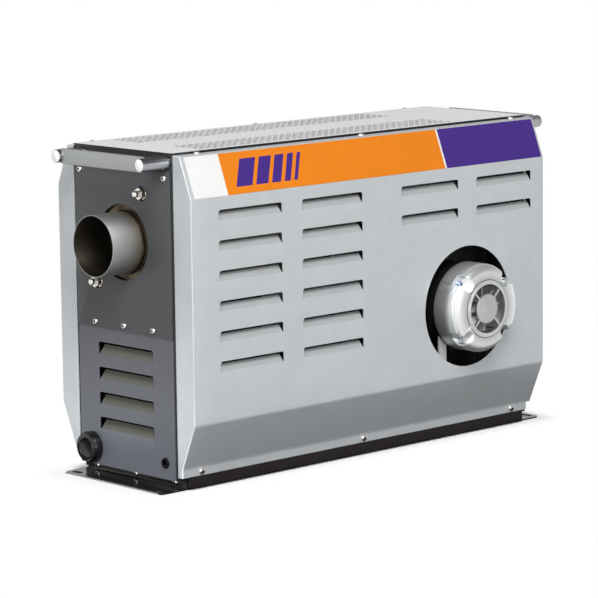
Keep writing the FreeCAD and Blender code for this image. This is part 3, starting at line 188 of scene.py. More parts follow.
silver = (0.53, 0.556, 0.572)
# painted light on the bell: the tone rises from face at the hub to rim, a painted highlight on the outer
# shell; line is painted shade in the crease of the step round the grille, ring a painted highlight beside it
castLightTones = {"face": (0.47, 0.48, 0.485), "ring": (0.60, 0.61, 0.615), "line": (0.20, 0.205, 0.21),
             "rim": (0.78, 0.79, 0.795)}
castLightStops = [(spot, castLightTones[tone]) for spot, tone in (
    (0.0, "face"), (0.09, "face"), (0.10, "ring"), (0.30, "ring"), (0.325, "line"), (0.36, "line"),
    (0.385, "face"), (1.0, "rim"))]
# heat tint towards the plate; the last stop is painted shade at the tube's root by the bead
tubeTintAndShadeStops = [(0.0, (0.29, 0.292, 0.29)), (0.72, (0.28, 0.277, 0.27)), (0.92, (0.27, 0.225, 0.16)),
             (1.0, (0.035, 0.026, 0.018))]
finish = {
    "silverPaint": coat("satin silver grey paint", silver, 0.42, 0.35),
    # the panel's silver made darker: painted shade on the louvre flaps
    "flapSilver": coat("silver flap paint darkened as painted shade", (0.445, 0.466, 0.474), 0.45, 0.25),
    # painted highlight on the folds, brighter towards the bottom
    "foldSilver": coat("silver fold paint with a painted highlight", (0.57, 0.585, 0.595), 0.40, 0.1,
                       lightByHeight=((50.0, 1.7), (110.0, 1.0))),
    # painted light: the flange's silver is brighter towards the bottom and darker towards the top
    "flangeSilver": coat("silver flange paint with painted light, brighter below", silver, 0.42, 0.35, lightByHeight=((50.0, 1.19), (240.0, 0.78))),
    "insideBlack": coat("black paint and painted shade", (0.006, 0.006, 0.006), 0.6, shine=0.2),
    "coverPaint": coat("pale silver cover paint", (0.68, 0.70, 0.71), 0.26, 0.5),
    "darkPaint": coat("dark grey plate paint", (0.063, 0.066, 0.068), 0.30, 0.1, shine=0.2),
    # painted light: the end plates' grey is brighter towards the bottom
    "greyPaint": coat("blue grey plate paint with painted light, brighter below", (0.098, 0.103, 0.120), 0.36, 0.2,
                      lightByHeight=((20.0, 1.5), (180.0, 0.9))),
    "flapPaint": coat("shaded flap paint", (0.096, 0.100, 0.082), 0.45),
    "framePaint": coat("charcoal frame paint", (0.024, 0.024, 0.026), 0.40),
    "panBlackAndShadow": coat("black pan paint and painted shadow", (0.016, 0.013, 0.012), 0.30),
    "bracketPaint": coat("light grey bracket paint", (0.50, 0.51, 0.52), 0.45),
    "footPaint": coat("black foot enamel", (0.012, 0.011, 0.010), 0.17),
    "zincSheetShaded": coat("zinc coated sheet darkened as painted shade", (0.30, 0.31, 0.33), 0.42, 0.9, mottle=0.12, mottleScale=60.0),
    "tubeSteel": tubeSteel("brushed outlet steel", tubeTintAndShadeStops, 0.58, -352.7, -299.5),
    "heatedSteel": coat("heat tinted steel", (0.085, 0.066, 0.043), 0.34, 1.0, mottle=0.5, mottleScale=45.0),
    "sootedSteel": coat("dark tube bore", (0.035, 0.029, 0.022), 0.5, 0.9, mottle=0.4, mottleScale=25.0),
    "postSteel": coat("dark turned steel", (0.36, 0.37, 0.39), 0.24, 1.0, stretch=(6, 1, 1)),
    "gripPaint": coat("grip grey paint", (0.30, 0.31, 0.31), 0.38, 0.3),
    "capWhite": coat("white post cap", (0.78, 0.79, 0.79), 0.35, bump=0.01),
    "nickel": coat("bright nickel", (0.78, 0.75, 0.70), 0.22, 1.0, bump=0.01),
    "darkRecess": coat("painted shade in recesses and gaps", (0.012, 0.012, 0.013), 0.5, bump=0.0, shine=0.3),
    "punchedEdge": coat("cut edge grey with painted shade and highlight", (0.40, 0.405, 0.41), 0.5, 0.3, bump=0.0),
    "blueRecess": coat("dark blue painted shade in driver recesses", (0.012, 0.03, 0.06), 0.4, bump=0.0),
    "blueZinc": coat("blue zinc plate", (0.45, 0.56, 0.72), 0.28, 0.9, bump=0.01),
    "bellCasting": castMetalRadialLight("fine cast aluminium", castLightStops, 0.36, 0.82, (30.0, 52.0)),
    "milledPocket": coat("milled pocket with a painted highlight", (0.90, 0.905, 0.905), 0.45, 0.2),
    "castAluminium": coat("rough cast aluminium", (0.62, 0.63, 0.64), 0.40, 0.85, mottle=0.06, bump=0.06),
    "groundSteel": coat("ground steel", (0.58, 0.58, 0.59), 0.25, 1.0),
    "coreSteel": coat("stacked core steel", (0.10, 0.10, 0.11), 0.5, 0.8, stretch=(1, 40, 1)),
    "copperWire": coat("enamelled copper wire", (0.55, 0.22, 0.09), 0.3, 0.9, mottle=0.2, mottleScale=200.0),
    "glassCloth": coat("glass cloth wrap", (0.60, 0.56, 0.45), 0.85, mottle=0.1, bump=0.3),
    "rodSheath": coat("heating rod sheath", (0.20, 0.17, 0.15), 0.45, 0.9),
    "ceramic": coat("plain ceramic", (0.78, 0.75, 0.68), 0.7),
    "blackPlastic": coat("black moulded plastic", (0.006, 0.006, 0.007), 0.24),
    "fanPlastic": coat("grey fan plastic", (0.38, 0.385, 0.39), 0.5),
    "blackRubber": coat("black rubber", (0.004, 0.004, 0.004), 0.7, shine=0.15),
    "labelWhite": coat("white label film", (0.73, 0.73, 0.72), 0.4, bump=0.005, shine=0.3),
    "labelOrange": coat("orange label ink", (0.715, 0.195, 0.005), 0.4, bump=0.005, shine=0.25),
    "labelPurple": coat("purple label ink", (0.050, 0.018, 0.20), 0.4, bump=0.005, shine=0.25),
}
print("finishes made")


# shaping

def placing(spot, turn="up"):
    return Matrix.Translation(spot) @ faceTurns[turn]


def wholeMesh(bm):
    return bm.verts[:] + bm.edges[:] + bm.faces[:]


def chain(bm, points, closed=False):
    verts = [bm.verts.new(p) for p in points]
    nexts = verts[1:] + (verts[:1] if closed else [])
    return [bm.edges.new(pair) for pair in zip(verts, nexts)]


def ringEdges(bm, spot, radius, steps=48, turn="up"):
    made = bmesh.ops.create_circle(bm, cap_ends=False, radius=radius, segments=steps,
                                   matrix=placing(spot, turn))
    return list(dict.fromkeys(edge for vert in made["verts"] for edge in vert.link_edges))


def fill(bm, edges):
    return bmesh.ops.triangle_fill(bm, use_beauty=True, use_dissolve=False, edges=edges)


def cutLines(bm, axis, spots):
    normal = Vector([float(axis == k) for k in range(3)])
    for spot in sorted(set(round(s, 3) for s in spots)):
        bmesh.ops.bisect_plane(bm, geom=wholeMesh(bm), dist=tolerance["merge"], plane_co=normal * spot,
                               plane_no=normal)


def boxed(spot, low, high):
    near = tolerance["spot"]
    return all(a - near < c < b + near for a, c, b in zip(low, spot, high))


def facesIn(bm, low, high):
    return [face for face in bm.faces if boxed(face.calc_center_median(), low, high)]


def openEdges(bm, low, high):
    return [edge for edge in bm.edges if edge.is_boundary and all(boxed(v.co, low, high) for v in edge.verts)]


def dropFaces(bm, low, high):
    bmesh.ops.delete(bm, geom=facesIn(bm, low, high), context="FACES")


def paintFaces(faces, choose):
    for face in faces:
        face.material_index = int(choose(face, face.calc_center_median()))


def faceOutwards(bm, axis, sense):
    bmesh.ops.recalc_face_normals(bm, faces=bm.faces)
    probe = max(bm.faces, key=lambda f: abs(f.normal[axis]) * f.calc_area())
    if probe.normal[axis] * sense < 0:
        bmesh.ops.reverse_faces(bm, faces=bm.faces)


def roundOff(bm, geom, width, steps=3, clamped=True, affect="EDGES"):
    made = bmesh.ops.bevel(bm, geom=geom, offset=width, offset_type="OFFSET", segments=steps, profile=0.5,
                           affect=affect, clamp_overlap=clamped, material=-1)
    return made["faces"]


def pullEdges(bm, edges, move):
    made = bmesh.ops.extrude_edge_only(bm, edges=edges)
    verts = [g for g in made["geom"] if isinstance(g, bmesh.types.BMVert)]
    bmesh.ops.translate(bm, vec=move, verts=verts)
    return [g for g in made["geom"] if isinstance(g, bmesh.types.BMEdge)]


def flatSheet(left, low, right, high):
    bm = bmesh.new()
    pullEdges(bm, chain(bm, [(left, low, 0), (right, low, 0)]), (0, high - low, 0))
    return bm


def roundCorner(bm, corner, along, down, steps=5):
    corner, along, down = Vector(corner), Vector(along), Vector(down)
    middle = corner + along + down  # a window's corner is filled up to a quarter round about this point
    border = openEdges(bm, *[[pick(pair) for pair in zip(corner, middle)] for pick in (min, max)])
    rim = {v for e in border for v in e.verts}
    first, last = (min(rim, key=lambda v: (v.co - spot).length) for spot in (corner + down, corner + along))
    turns = [math.pi / 2 * k / steps for k in range(1, steps)]
    arc = [bm.verts.new(middle - along * math.cos(t) - down * math.sin(t)) for t in turns]
    line = [first, *arc, last]
    fill(bm, border + [bm.edges.new(pair) for pair in zip(line, line[1:])])


def thicken(bm, move):
    made = bmesh.ops.extrude_face_region(bm, geom=bm.faces[:])
    bmesh.ops.translate(bm, vec=move, verts=[g for g in made["geom"] if isinstance(g, bmesh.types.BMVert)])
    bmesh.ops.recalc_face_normals(bm, faces=bm.faces)


def turnedShape(profile, steps=64, closed=True):
    bm = bmesh.new()
    chain(bm, [(r, 0, z) for r, z in profile], closed)
    bmesh.ops.spin(bm, geom=bm.verts[:] + bm.edges[:], cent=(0, 0, 0), axis=(0, 0, 1), angle=2 * math.pi,
                   steps=steps, use_merge=True, use_duplicate=False)
    bmesh.ops.remove_doubles(bm, verts=bm.verts, dist=tolerance["merge"])
    bmesh.ops.dissolve_degenerate(bm, dist=tolerance["merge"], edges=bm.edges)
    bmesh.ops.recalc_face_normals(bm, faces=bm.faces)
    return bm


def moved(bm, spot, turn="up"):
    bmesh.ops.transform(bm, matrix=placing(spot, turn), verts=bm.verts)
    return bm


def repeated(bm, places):
    one = bpy.data.meshes.new("one")
    bm.to_mesh(one)
    bm.free()
    many = bmesh.new()
    for spot, turn in places:
        copy = one.copy()
        copy.transform(placing(spot, turn))
        many.from_mesh(copy)
        bpy.data.meshes.remove(copy)
    bpy.data.meshes.remove(one)
    return many


def nodeCopy(node, joined=True):
    bm = bmesh.new()
    bm.from_mesh(nodes[node].data)
    bmesh.ops.scale(bm, vec=(perMetre,) * 3, verts=bm.verts)
    bmesh.ops.remove_doubles(bm, verts=bm.verts, dist=tolerance["solid"])
    if joined:
        bmesh.ops.dissolve_limit(bm, angle_limit=math.radians(1.0), use_dissolve_boundaries=False,
                                 verts=bm.verts, edges=bm.edges, delimit={"NORMAL"})
    return bm


def coatIndex(coats, key):
    return coats.split().index(key)


def putPiece(bm, name, coats, replaced=(), body="housing", sheet=0.0, inside=0, edge=0.0, edgeSteps=2,
             bend=38):
    bmesh.ops.scale(bm, vec=(1 / perMetre,) * 3, verts=bm.verts)
    mesh = bpy.data.meshes.new(name)
    bm.to_mesh(mesh)
    bm.free()
    piece = bpy.data.objects.new(name, mesh)
    scene.collection.objects.link(piece)
    for key in coats.split():
        mesh.materials.append(finish[key])
    mesh.shade_smooth()
    mesh.set_sharp_from_angle(angle=math.radians(bend))
    if sheet:
        wall = piece.modifiers.new("sheet", "SOLIDIFY")
        wall.thickness = sheet / perMetre
        wall.offset = -1
        wall.use_even_offset = True
        wall.material_offset = inside
    if edge:
        soft = piece.modifiers.new("edge", "BEVEL")
        soft.width = edge / perMetre
        soft.segments = edgeSteps
        soft.limit_method = "ANGLE"
        soft.angle_limit = math.radians(bend)
        soft.harden_normals = True
    if sheet or edge:
        shown = piece.evaluated_get(bpy.context.evaluated_depsgraph_get())
        piece.data = bpy.data.meshes.new_from_object(shown)
        piece.modifiers.clear()
        bpy.data.meshes.remove(mesh)
        piece.data.name = name
        if not edge:
            piece.data.set_sharp_from_angle(angle=math.radians(bend))
    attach(piece, body)
    if replaced:
        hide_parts(*replaced)
    return piece


def easeNode(node, coats, ease):
    name = node.replace("_", " ").title().replace(" ", "")
    putPiece(nodeCopy(node), name, coats, (node,), edge=ease)


# side panels: bent sheet, louvre flaps, end flanges

sidePanel = {
    "coats": "silverPaint flapSilver foldSilver flangeSilver insideBlack",
    "bendRadius": 2.2, "foldRadius": 1.0, "hingeRadius": 1.4,
    "columns": (-260.8, -123.8, 48.2, 185.2), "frontRows": (6, 6, 2, 2), "backRows": (6, 6, 6, 6),
    "louvreLength": 103.7, "louvreHeight": 13.0, "louvreTop": 342.0, "louvrePitch": 36.85,
    "louvreDepth": 7.2, "louvreGap": 1.6, "louvreSlot": 3.7, "louvreCorner": 3.5, "flapFrom": 0.5,
    "stripNotch": 8.0, "notchTop": 26.6, "cutoutRadius": 78.8, "cutoutMargin": 3.0, "cutoutSteps": 128,
}


def louvreSpots(rows):
    p = sidePanel
    for start, count in zip(p["columns"], rows):
        for row in range(count):
            top = p["louvreTop"] - row * p["louvrePitch"]
            yield start, start + p["louvreLength"], top - p["louvreHeight"], top


def pressLouvres(bm, spots, face, side):
    p = sidePanel
    gap, corner, skin = p["louvreGap"], p["louvreCorner"], tolerance["skin"]
    hinges = []
    for start, end, low, top in spots:
        roundCorner(bm, (start, face, top), (corner, 0, 0), (0, 0, -corner))
        roundCorner(bm, (end, face, top), (-corner, 0, 0), (0, 0, -corner))
        lip = openEdges(bm, (start + gap, face - skin, low), (end - gap, face + skin, low))
        pullEdges(bm, lip, (0, -side * p["louvreDepth"], p["louvreHeight"] - p["louvreSlot"]))
        hinges += lip
    roundOff(bm, hinges, p["hingeRadius"])
    inner = face - side * p["louvreDepth"]
    for start, end, low, top in spots:
        flap = facesIn(bm, (start, min(face, inner), low), (end, max(face, inner), top))
        # the flap faces get the darker silver: painted shade on the louvre flaps
        paintFaces(flap, lambda f, spot: abs(spot.y - face) > p["flapFrom"])


def foldFlanges(bm, inner, flangeLow):
    p, near = sidePanel, tolerance["spot"]
    folds = []
    for x in (cabinet["outletX"], cabinet["rearX"]):
        rim = [e for e in bm.edges if e.is_boundary
               and all(abs(v.co.x - x) < near and v.co.z > flangeLow - near for v in e.verts)]
        rimVerts = {v for e in rim for v in e.verts}
        low = min(rimVerts, key=lambda v: v.co.z)
        high = min(rimVerts, key=lambda v: (abs(v.co.y - inner), -v.co.z))
        corner = bm.verts.new((x, inner, low.co.z))
        closing = [bm.edges.new((low, corner)), bm.edges.new((corner, high))]
        made = bmesh.ops.edgeloop_fill(bm, edges=rim + closing)
        # the flange gets the silver with painted light, brighter towards the bottom
        paintFaces(made["faces"], lambda f, spot: coatIndex(p["coats"], "flangeSilver"))
        folds += rim
    rounds = roundOff(bm, folds, p["foldRadius"], clamped=False)
    # the fold rounds get the paler silver: painted highlight along the folds
    paintFaces(rounds, lambda f, spot: coatIndex(p["coats"], "foldSilver"))


def makeSidePanel(name, node, side, rows, cutout, flangeLow):
    c, p = cabinet, sidePanel

    def out(inset):
        return c["midY"] + side * (c["halfWidth"] - inset)

    face, strip, skin = out(0), out(c["bottomInset"]), tolerance["skin"]
    gap, corner = p["louvreGap"], p["louvreCorner"]
    bm = bmesh.new()
    line = chain(bm, [(c["outletX"], out(inset), z) for inset, z in (
        (c["flangeInset"], c["topZ"]), (c["topInset"], c["topZ"]), (0, c["labelZ"]), (0, c["faceZ"]),
        (c["bottomInset"], c["bandZ"]), (c["bottomInset"], c["stripZ"]))])
    pullEdges(bm, line, (c["rearX"] - c["outletX"], 0, 0))
    roundOff(bm, [e for e in bm.edges if not e.is_boundary], p["bendRadius"], steps=4)
    notches = [(c["rearX"] - p["stripNotch"], c["rearX"])]
    if not cutout:
        notches.append((c["outletX"], c["outletX"] + p["stripNotch"]))
    xs, zs = [x for notch in notches for x in notch], [p["notchTop"]]
    spots = list(louvreSpots(rows))
    for start, end, low, top in spots:
        xs += [start, start + gap, start + corner, end - corner, end - gap, end]
        zs += [low, top - corner, top]
    reach = p["cutoutRadius"] + p["cutoutMargin"]
    window = [(c["motorX"] + s * reach, face + s * skin, c["motorZ"] + s * reach) for s in (-1, 1)]
    if cutout:
        xs += [spot[0] for spot in window]
        zs += [spot[2] for spot in window]
    cutLines(bm, 0, xs)
    cutLines(bm, 2, zs)
    bmesh.ops.recalc_face_normals(bm, faces=bm.faces)
    for start, end, low, top in spots:
        dropFaces(bm, (start, face - skin, low), (end, face + skin, top))
    if cutout:
        dropFaces(bm, *window)
        border = openEdges(bm, *window)
        middle = (c["motorX"], face, c["motorZ"])
        fill(bm, border + ringEdges(bm, middle, p["cutoutRadius"], p["cutoutSteps"], "front"))
    for start, end in notches:
        dropFaces(bm, (start, strip - skin, c["stripZ"]), (end, strip + skin, p["notchTop"]))
    pressLouvres(bm, spots, face, side)
    foldFlanges(bm, out(c["flangeInset"]), flangeLow)
    faceOutwards(bm, 1, side)
    # the sheet's inner side gets black: painted shade inside the cabinet
    return putPiece(bm, name, p["coats"], (node,), sheet=c["gauge"],
                    inside=coatIndex(p["coats"], "insideBlack"))


makeSidePanel("frontPanel", "front_side_panel", -1, sidePanel["frontRows"], True, cabinet["stripZ"])
makeSidePanel("backPanel", "back_side_panel", 1, sidePanel["backRows"], False, sidePanel["notchTop"])
print("side panels made")


# perforated top cover

topCover = {"coats": "coverPaint punchedEdge darkRecess", "overhang": 1.0, "holePitch": 10.9,
            "holeRadius": 3.4, "holeSteps": 12, "firstHole": 0.75, "bandWidth": 58.0, "bandMargin": 6.5,
            "bandStart": 48.0, "bandEnd": 117.0, "bend": 50}


def makeTopCover():
    c, p, skin = cabinet, topCover, tolerance["skin"]
    left, right = c["outletX"] - p["overhang"], c["rearX"] + p["overhang"]
    start, end = c["outletX"] + p["bandStart"], c["rearX"] - p["bandEnd"]
    half, outer = c["plateHalf"], c["plateHalf"] - p["bandMargin"]
    inner = outer - p["bandWidth"]
    bm = flatSheet(left, c["midY"] - half, right, c["midY"] + half)
    bands = [(c["midY"] - outer, c["midY"] - inner), (c["midY"] + inner, c["midY"] + outer)]
    cutLines(bm, 0, [start, end])
    cutLines(bm, 1, [y for band in bands for y in band])
    rowStep = p["holePitch"] / 2
    rows = int(p["bandWidth"] / rowStep)
    columns = int((end - start) / p["holePitch"]) - 1
    for low, high in bands:
        window = [(start, low, -1), (end, high, 1)]
        dropFaces(bm, *window)
        edges = openEdges(bm, *window)
        for row in range(rows):
            y = (low + high) / 2 + (row - (rows - 1) / 2) * rowStep
            for column in range(columns):
                x = start + (column + p["firstHole"] + 0.5 * (row % 2)) * p["holePitch"]  # rows are staggered
                edges += ringEdges(bm, (x, y, 0), p["holeRadius"], p["holeSteps"])
        fill(bm, edges)
    thicken(bm, (0, 0, -c["gauge"]))

    # painted shade: the cover's outer rim gets black for the shadow gap under its edge, and the hole walls a
    # darker grey for the shade in the holes
    def tone(face, spot):
        if abs(spot.y - c["midY"]) > half - skin or not left + skin < spot.x < right - skin:
            return coatIndex(p["coats"], "darkRecess")
        return face.normal.z < 0.5

    paintFaces(bm.faces, tone)
    moved(bm, (0, 0, c["coverZ"]))
    return putPiece(bm, "topCover", p["coats"], ("top_cover",), bend=p["bend"])


makeTopCover()
print("top cover made")


# end plates

endPlate = {
    "seamZ": 185.0, "seamGap": 0.8, "seamLap": 18.0, "topZ": 389.5, "bottomZ": 11.5, "lipInset": 2.4,
    "tray": 2.4, "fold": 0.7, "tubeZ": 296.0, "tubeHole": 47.0, "tubeSteps": 128, "studHole": 9.0,
    "studs": ((-36.8, 62.47), (49.63, -52.85)),
    "louvreTop": 167.5, "louvreHeight": 16.0, "louvrePitch": 31.5, "louvreRows": 4, "louvreLength": 103.7,
    "louvreDepth": 9.0, "louvreGap": 1.6, "louvreSlot": 4.6, "louvreCorner": 3.5, "hinge": 1.4,
    "entryY": -71.6, "entryZ": 31.7, "entryHole": 4.4, "entryMargin": 6.0,
}


def foldTray(bm, half):
    p, near = endPlate, tolerance["spot"]
    lines = ((0, -half), (0, half), (1, p["topZ"]))
    sides = [e for e in bm.edges if e.is_boundary and any(
        all(abs(v.co[axis] - spot) < near for v in e.verts) for axis, spot in lines)]
    pullEdges(bm, sides, (0, 0, -p["tray"]))
    roundOff(bm, sides, p["fold"], steps=2)


def standUp(bm, x, middle, sense):
    turn = Matrix(((0, 0, sense, x), (1, 0, 0, middle), (0, 1, 0, 0), (0, 0, 0, 1)))
    bmesh.ops.transform(bm, matrix=turn, verts=bm.verts)
    faceOutwards(bm, 0, sense)


def makeUpperPlate():
    c, p, half = cabinet, endPlate, cabinet["outletHalf"]
    bm = bmesh.new()
    edges = chain(bm, [(-half, p["seamZ"], 0), (half, p["seamZ"], 0), (half, p["topZ"], 0),
                       (-half, p["topZ"], 0)], True)
    edges += ringEdges(bm, (0, p["tubeZ"], 0), p["tubeHole"], p["tubeSteps"])
    for u, v in p["studs"]:
        edges += ringEdges(bm, (u, p["tubeZ"] + v, 0), p["studHole"])
    fill(bm, edges)
    foldTray(bm, half)
    standUp(bm, c["outletX"], c["outletMid"], -1)
    return putPiece(bm, "upperEndPlate", "darkPaint", ("upper_end_plate",),
                    sheet=c["gauge"])


def makeLowerPlate():
    c, p, half = cabinet, endPlate, cabinet["outletHalf"]
    lip, seam, sheetTop = half - p["lipInset"], p["seamZ"] - p["seamGap"], p["seamZ"] + p["seamLap"]
    reach, corner = p["louvreLength"] / 2, p["louvreCorner"]
    flapEnd = reach - p["louvreGap"]
    tops = [p["louvreTop"] - k * p["louvrePitch"] for k in range(p["louvreRows"])]
    bm = flatSheet(-half, p["bottomZ"], half, sheetTop)
    cutLines(bm, 0, [side * spot for spot in (lip, reach - corner, flapEnd, reach) for side in (-1, 1)])
    cutLines(bm, 1, [seam] + [top - drop for top in tops for drop in (0, corner, p["louvreHeight"])])
    for left, right in ((-half, -lip), (lip, half)):
        dropFaces(bm, (left, seam, -1), (right, sheetTop, 1))
    entry = [(p["entryY"] + s * p["entryMargin"], p["entryZ"] + s * p["entryMargin"], s) for s in (-1, 1)]
    for axis in (0, 1):
        cutLines(bm, axis, [spot[axis] for spot in entry])
    dropFaces(bm, *entry)
    fill(bm, openEdges(bm, *entry) + ringEdges(bm, (p["entryY"], p["entryZ"], 0), p["entryHole"]))
    hinges = []
    for top in tops:
        low = top - p["louvreHeight"]
        dropFaces(bm, (-reach, low, -1), (reach, top, 1))
        for side in (-1, 1):
            roundCorner(bm, (side * reach, top, 0), (-side * corner, 0, 0), (0, -corner, 0))
        lips = openEdges(bm, (-flapEnd, low, -1), (flapEnd, low, 1))
        pullEdges(bm, lips, (0, p["louvreHeight"] - p["louvreSlot"], -p["louvreDepth"]))
        hinges += lips
    roundOff(bm, hinges, p["hinge"])
    paintFaces(bm.faces, lambda f, spot: spot.z < -p["hinge"])
    standUp(bm, c["outletX"] + c["gauge"], c["outletMid"], -1)
    return putPiece(bm, "lowerEndPlate", "greyPaint flapPaint", ("lower_end_plate",),
                    sheet=c["gauge"])


def makeRearPlate():
    c, p, half = cabinet, endPlate, cabinet["plateHalf"]
    bm = flatSheet(-half, p["bottomZ"], half, p["topZ"])
    foldTray(bm, half)
    standUp(bm, c["rearX"], c["midY"], 1)
    return putPiece(bm, "rearEndPlate", "greyPaint", ("rear_end_plate",),
                    sheet=c["gauge"])


makeUpperPlate()
makeLowerPlate()
makeRearPlate()
print("end plates made")


# outlet tube and what shows behind its hole

outletTube = {"x": -352.7, "z": 296.0, "radius": 38.15, "wall": 1.5, "length": 55.1, "beadAt": 52.3,
              "beadShoulder": (0.7, 0.5), "rimRound": 0.35, "boreShare": 0.8, "steps": 128, "bend": 50,
              "flangeEase": 0.25}


def makeOutletTube():
    p = outletTube
    r, w, e = p["radius"], p["wall"], p["rimRound"]
    bead, (rise, before) = p["beadAt"], p["beadShoulder"]
    bm = turnedShape([(r - w, p["length"]), (r - w, e), (r - w + e, 0), (r - e, 0), (r, e), (r, bead - w),
                      (r + w * rise, bead - w * before), (r + w, bead), (r, bead), (r, p["length"])],
                     p["steps"])
    paintFaces(bm.faces, lambda f, spot: math.hypot(*spot.xy) < r - w * p["boreShare"])
    moved(bm, (p["x"], cabinet["midY"], p["z"]), "rear")
    return putPiece(bm, "outletTube", "tubeSteel sootedSteel", ("outlet_tube",),
                    bend=p["bend"])


makeOutletTube()
easeNode("heater_mount_plate", "heatedSteel", outletTube["flangeEase"])
for node in ("stud_nuts", "flange_studs"):
    easeNode(node, "nickel", outletTube["flangeEase"])
print("outlet made")


# carrying handles

handle = {
    "z": 399.0, "halfSpan": 78.6, "postRadius": 8.25, "reach": 40.0, "back": 2.4, "spigot": 13.4,
    "spigotRadius": 5.0, "collar": 9.07, "collarFlat": 1.4, "collarEnd": 2.4,
    "noseRound": ((0.0, 0.8), (0.25, 0.2), (0.8, 0.05)),  # how far in from the side and back from the nose
    "capRadius": 7.6, "capRound": (0.4, 0.3), "capDepth": 1.5,
    "gripSetback": 5.5, "gripThickness": 6.0, "gripHeight": 19.0, "gripRound": 1.5, "gripShort": 3.0,
    "steps": 64, "bend": 40,
}


def makeHandle(endName, x, sense):
    c, p = cabinet, handle
    turn = "outlet" if sense < 0 else "rear"
    r, nose, tail = p["postRadius"], p["reach"] + p["back"], p["back"] - p["spigot"]
    noseLine = [(r - a, nose - b) for a, b in p["noseRound"]]
    capSide, capRound, capBack = p["capRadius"], p["capRound"], nose - p["capDepth"]
    for place, side in (("front", -1), ("back", 1)):
        spot = (x - sense * p["back"], c["midY"] + side * p["halfSpan"], p["z"])
        post = turnedShape([(0, tail), (p["spigotRadius"], tail), (p["spigotRadius"], 0), (p["collar"], 0),
                            (p["collar"], p["collarFlat"]), (r, p["collarEnd"]), *noseLine,
                            (0, noseLine[-1][1])], p["steps"], False)
        putPiece(moved(post, spot, turn), f"{endName}{place.title()}Post", "postSteel",
                 (f"{endName}_handle_{place}_post",), bend=p["bend"])
        cap = turnedShape([(0, nose), (capSide - capRound[0], nose), (capSide, nose - capRound[1]),
                           (capSide, capBack), (0, capBack)], p["steps"], False)
        putPiece(moved(cap, spot, turn), f"{endName}{place.title()}Cap", "capWhite",
                 bend=p["bend"])
    grip = bmesh.new()
    bmesh.ops.create_cube(grip, size=1)
    bmesh.ops.scale(grip, vec=(p["gripThickness"], 2 * (p["halfSpan"] - p["gripShort"]), p["gripHeight"]),
                    verts=grip.verts)
    roundOff(grip, [e for e in grip.edges if abs(e.verts[0].co.y - e.verts[1].co.y) > 1], p["gripRound"])
    middle = p["reach"] - p["gripSetback"] - p["gripThickness"] / 2
    moved(grip, (x + sense * middle, c["midY"], p["z"]))
    putPiece(grip, f"{endName}Grip", "gripPaint", (f"{endName}_handle_grip",),
             bend=p["bend"])


makeHandle("outlet", cabinet["outletX"], -1)
makeHandle("rear", cabinet["rearX"], 1)
print("handles made")


# screws with a cross recess

screw = {
    "head": 4.0, "rise": 2.6, "flat": 2.7, "shank": 2.0, "length": 8.0, "armLong": 2.4, "armWide": 0.75,
    "recess": 1.4, "domeSide": 0.35, "domeRim": (0.9, 0.72), "steps": 24, "bend": 40,
    "xs": (-270.3, 4.2, 278.7), "topInset": 27.5, "stripShift": -3.6, "stripZ": 22.0,
    "plateReach": 79.4, "plateZ": 380.0, "seamStep": 54.5, "seamZ": 192.7,
    "footSetback": 12.4, "footStep": 74.0, "footZ": 7.0,
}


def screwShape(scale=1.0, length=screw["length"]):
    p = screw
    a, b, head, rise = p["armLong"], p["armWide"], p["head"], p["rise"]
    bm = turnedShape([(0, -length / scale), (p["shank"], -length / scale), (p["shank"], 0), (head, 0),
                      (head, rise * p["domeSide"]), (head * p["domeRim"][0], rise * p["domeRim"][1]),
                      (p["flat"], rise)], p["steps"], False)
    rim = [e for e in bm.edges if e.is_boundary]
    arms = ((a, -b), (a, b), (b, b), (b, a), (-b, a), (-b, b), (-a, b), (-a, -b), (-b, -b), (-b, -a), (b, -a),
            (b, -b))
    cross = chain(bm, [(u, v, rise) for u, v in arms], True)
    fill(bm, rim + cross)
    floor = pullEdges(bm, cross, (0, 0, -p["recess"]))
    bmesh.ops.edgeloop_fill(bm, edges=[e for e in floor if e.is_boundary])
    bmesh.ops.recalc_face_normals(bm, faces=bm.faces)
    near = tolerance["spot"]
    # the recess faces get the dark second paint: painted shade in the driver recess
    paintFaces(bm.faces, lambda f, spot: 0 < spot.z < rise - near and math.hypot(*spot.xy) < a + near)
    bmesh.ops.scale(bm, vec=(scale,) * 3, verts=bm.verts)
    return bm


def makeScrews():
    c, p = cabinet, screw
    sides, thirds = ((-1, "front"), (1, "back")), (-1, 0, 1)
    topY, stripY = c["halfWidth"] - p["topInset"], c["halfWidth"] - c["bottomInset"]
    top = [((x, c["midY"] + s * topY, c["topZ"]), "up") for s, _ in sides for x in p["xs"]]
    strip = [((x + p["stripShift"], c["midY"] + s * stripY, p["stripZ"]), turn)
             for s, turn in sides for x in p["xs"]]
    ends = ((c["outletX"], c["outletMid"], "outlet"), (c["rearX"], c["midY"], "rear"))
    plates = [((x, middle + s * p["plateReach"], p["plateZ"]), turn)
              for x, middle, turn in ends for s, _ in sides]
    seam = [((c["outletX"], c["outletMid"] + k * p["seamStep"], p["seamZ"]), "outlet") for k in thirds]
    feet = ((c["outletX"] + p["footSetback"], "outlet"), (c["rearX"] - p["footSetback"], "rear"))
    foot = [((x, c["midY"] + k * p["footStep"], p["footZ"]), turn) for x, turn in feet for k in thirds]
    for name, node, places in (
            ("topScrews", "top_flange_screws", top), ("stripScrews", "strip_screws", strip),
            ("plateScrews", "end_plate_screws", plates), ("seamScrews", "seam_screws", seam),
            ("footScrews", "foot_screws", foot)):
        putPiece(repeated(screwShape(), places), name, "nickel darkRecess", (node,),
                 bend=p["bend"])


makeScrews()
print("screws made")


# entries and feet keep the solids' outlines, with eased edges

entries = {"ease": 0.3, "glandEase": 0.5, "glandRound": 4.5, "glandTurn": 0.5, "alongAxis": 0.99}
feet = {"ease": 0.35, "tip": 0.5}


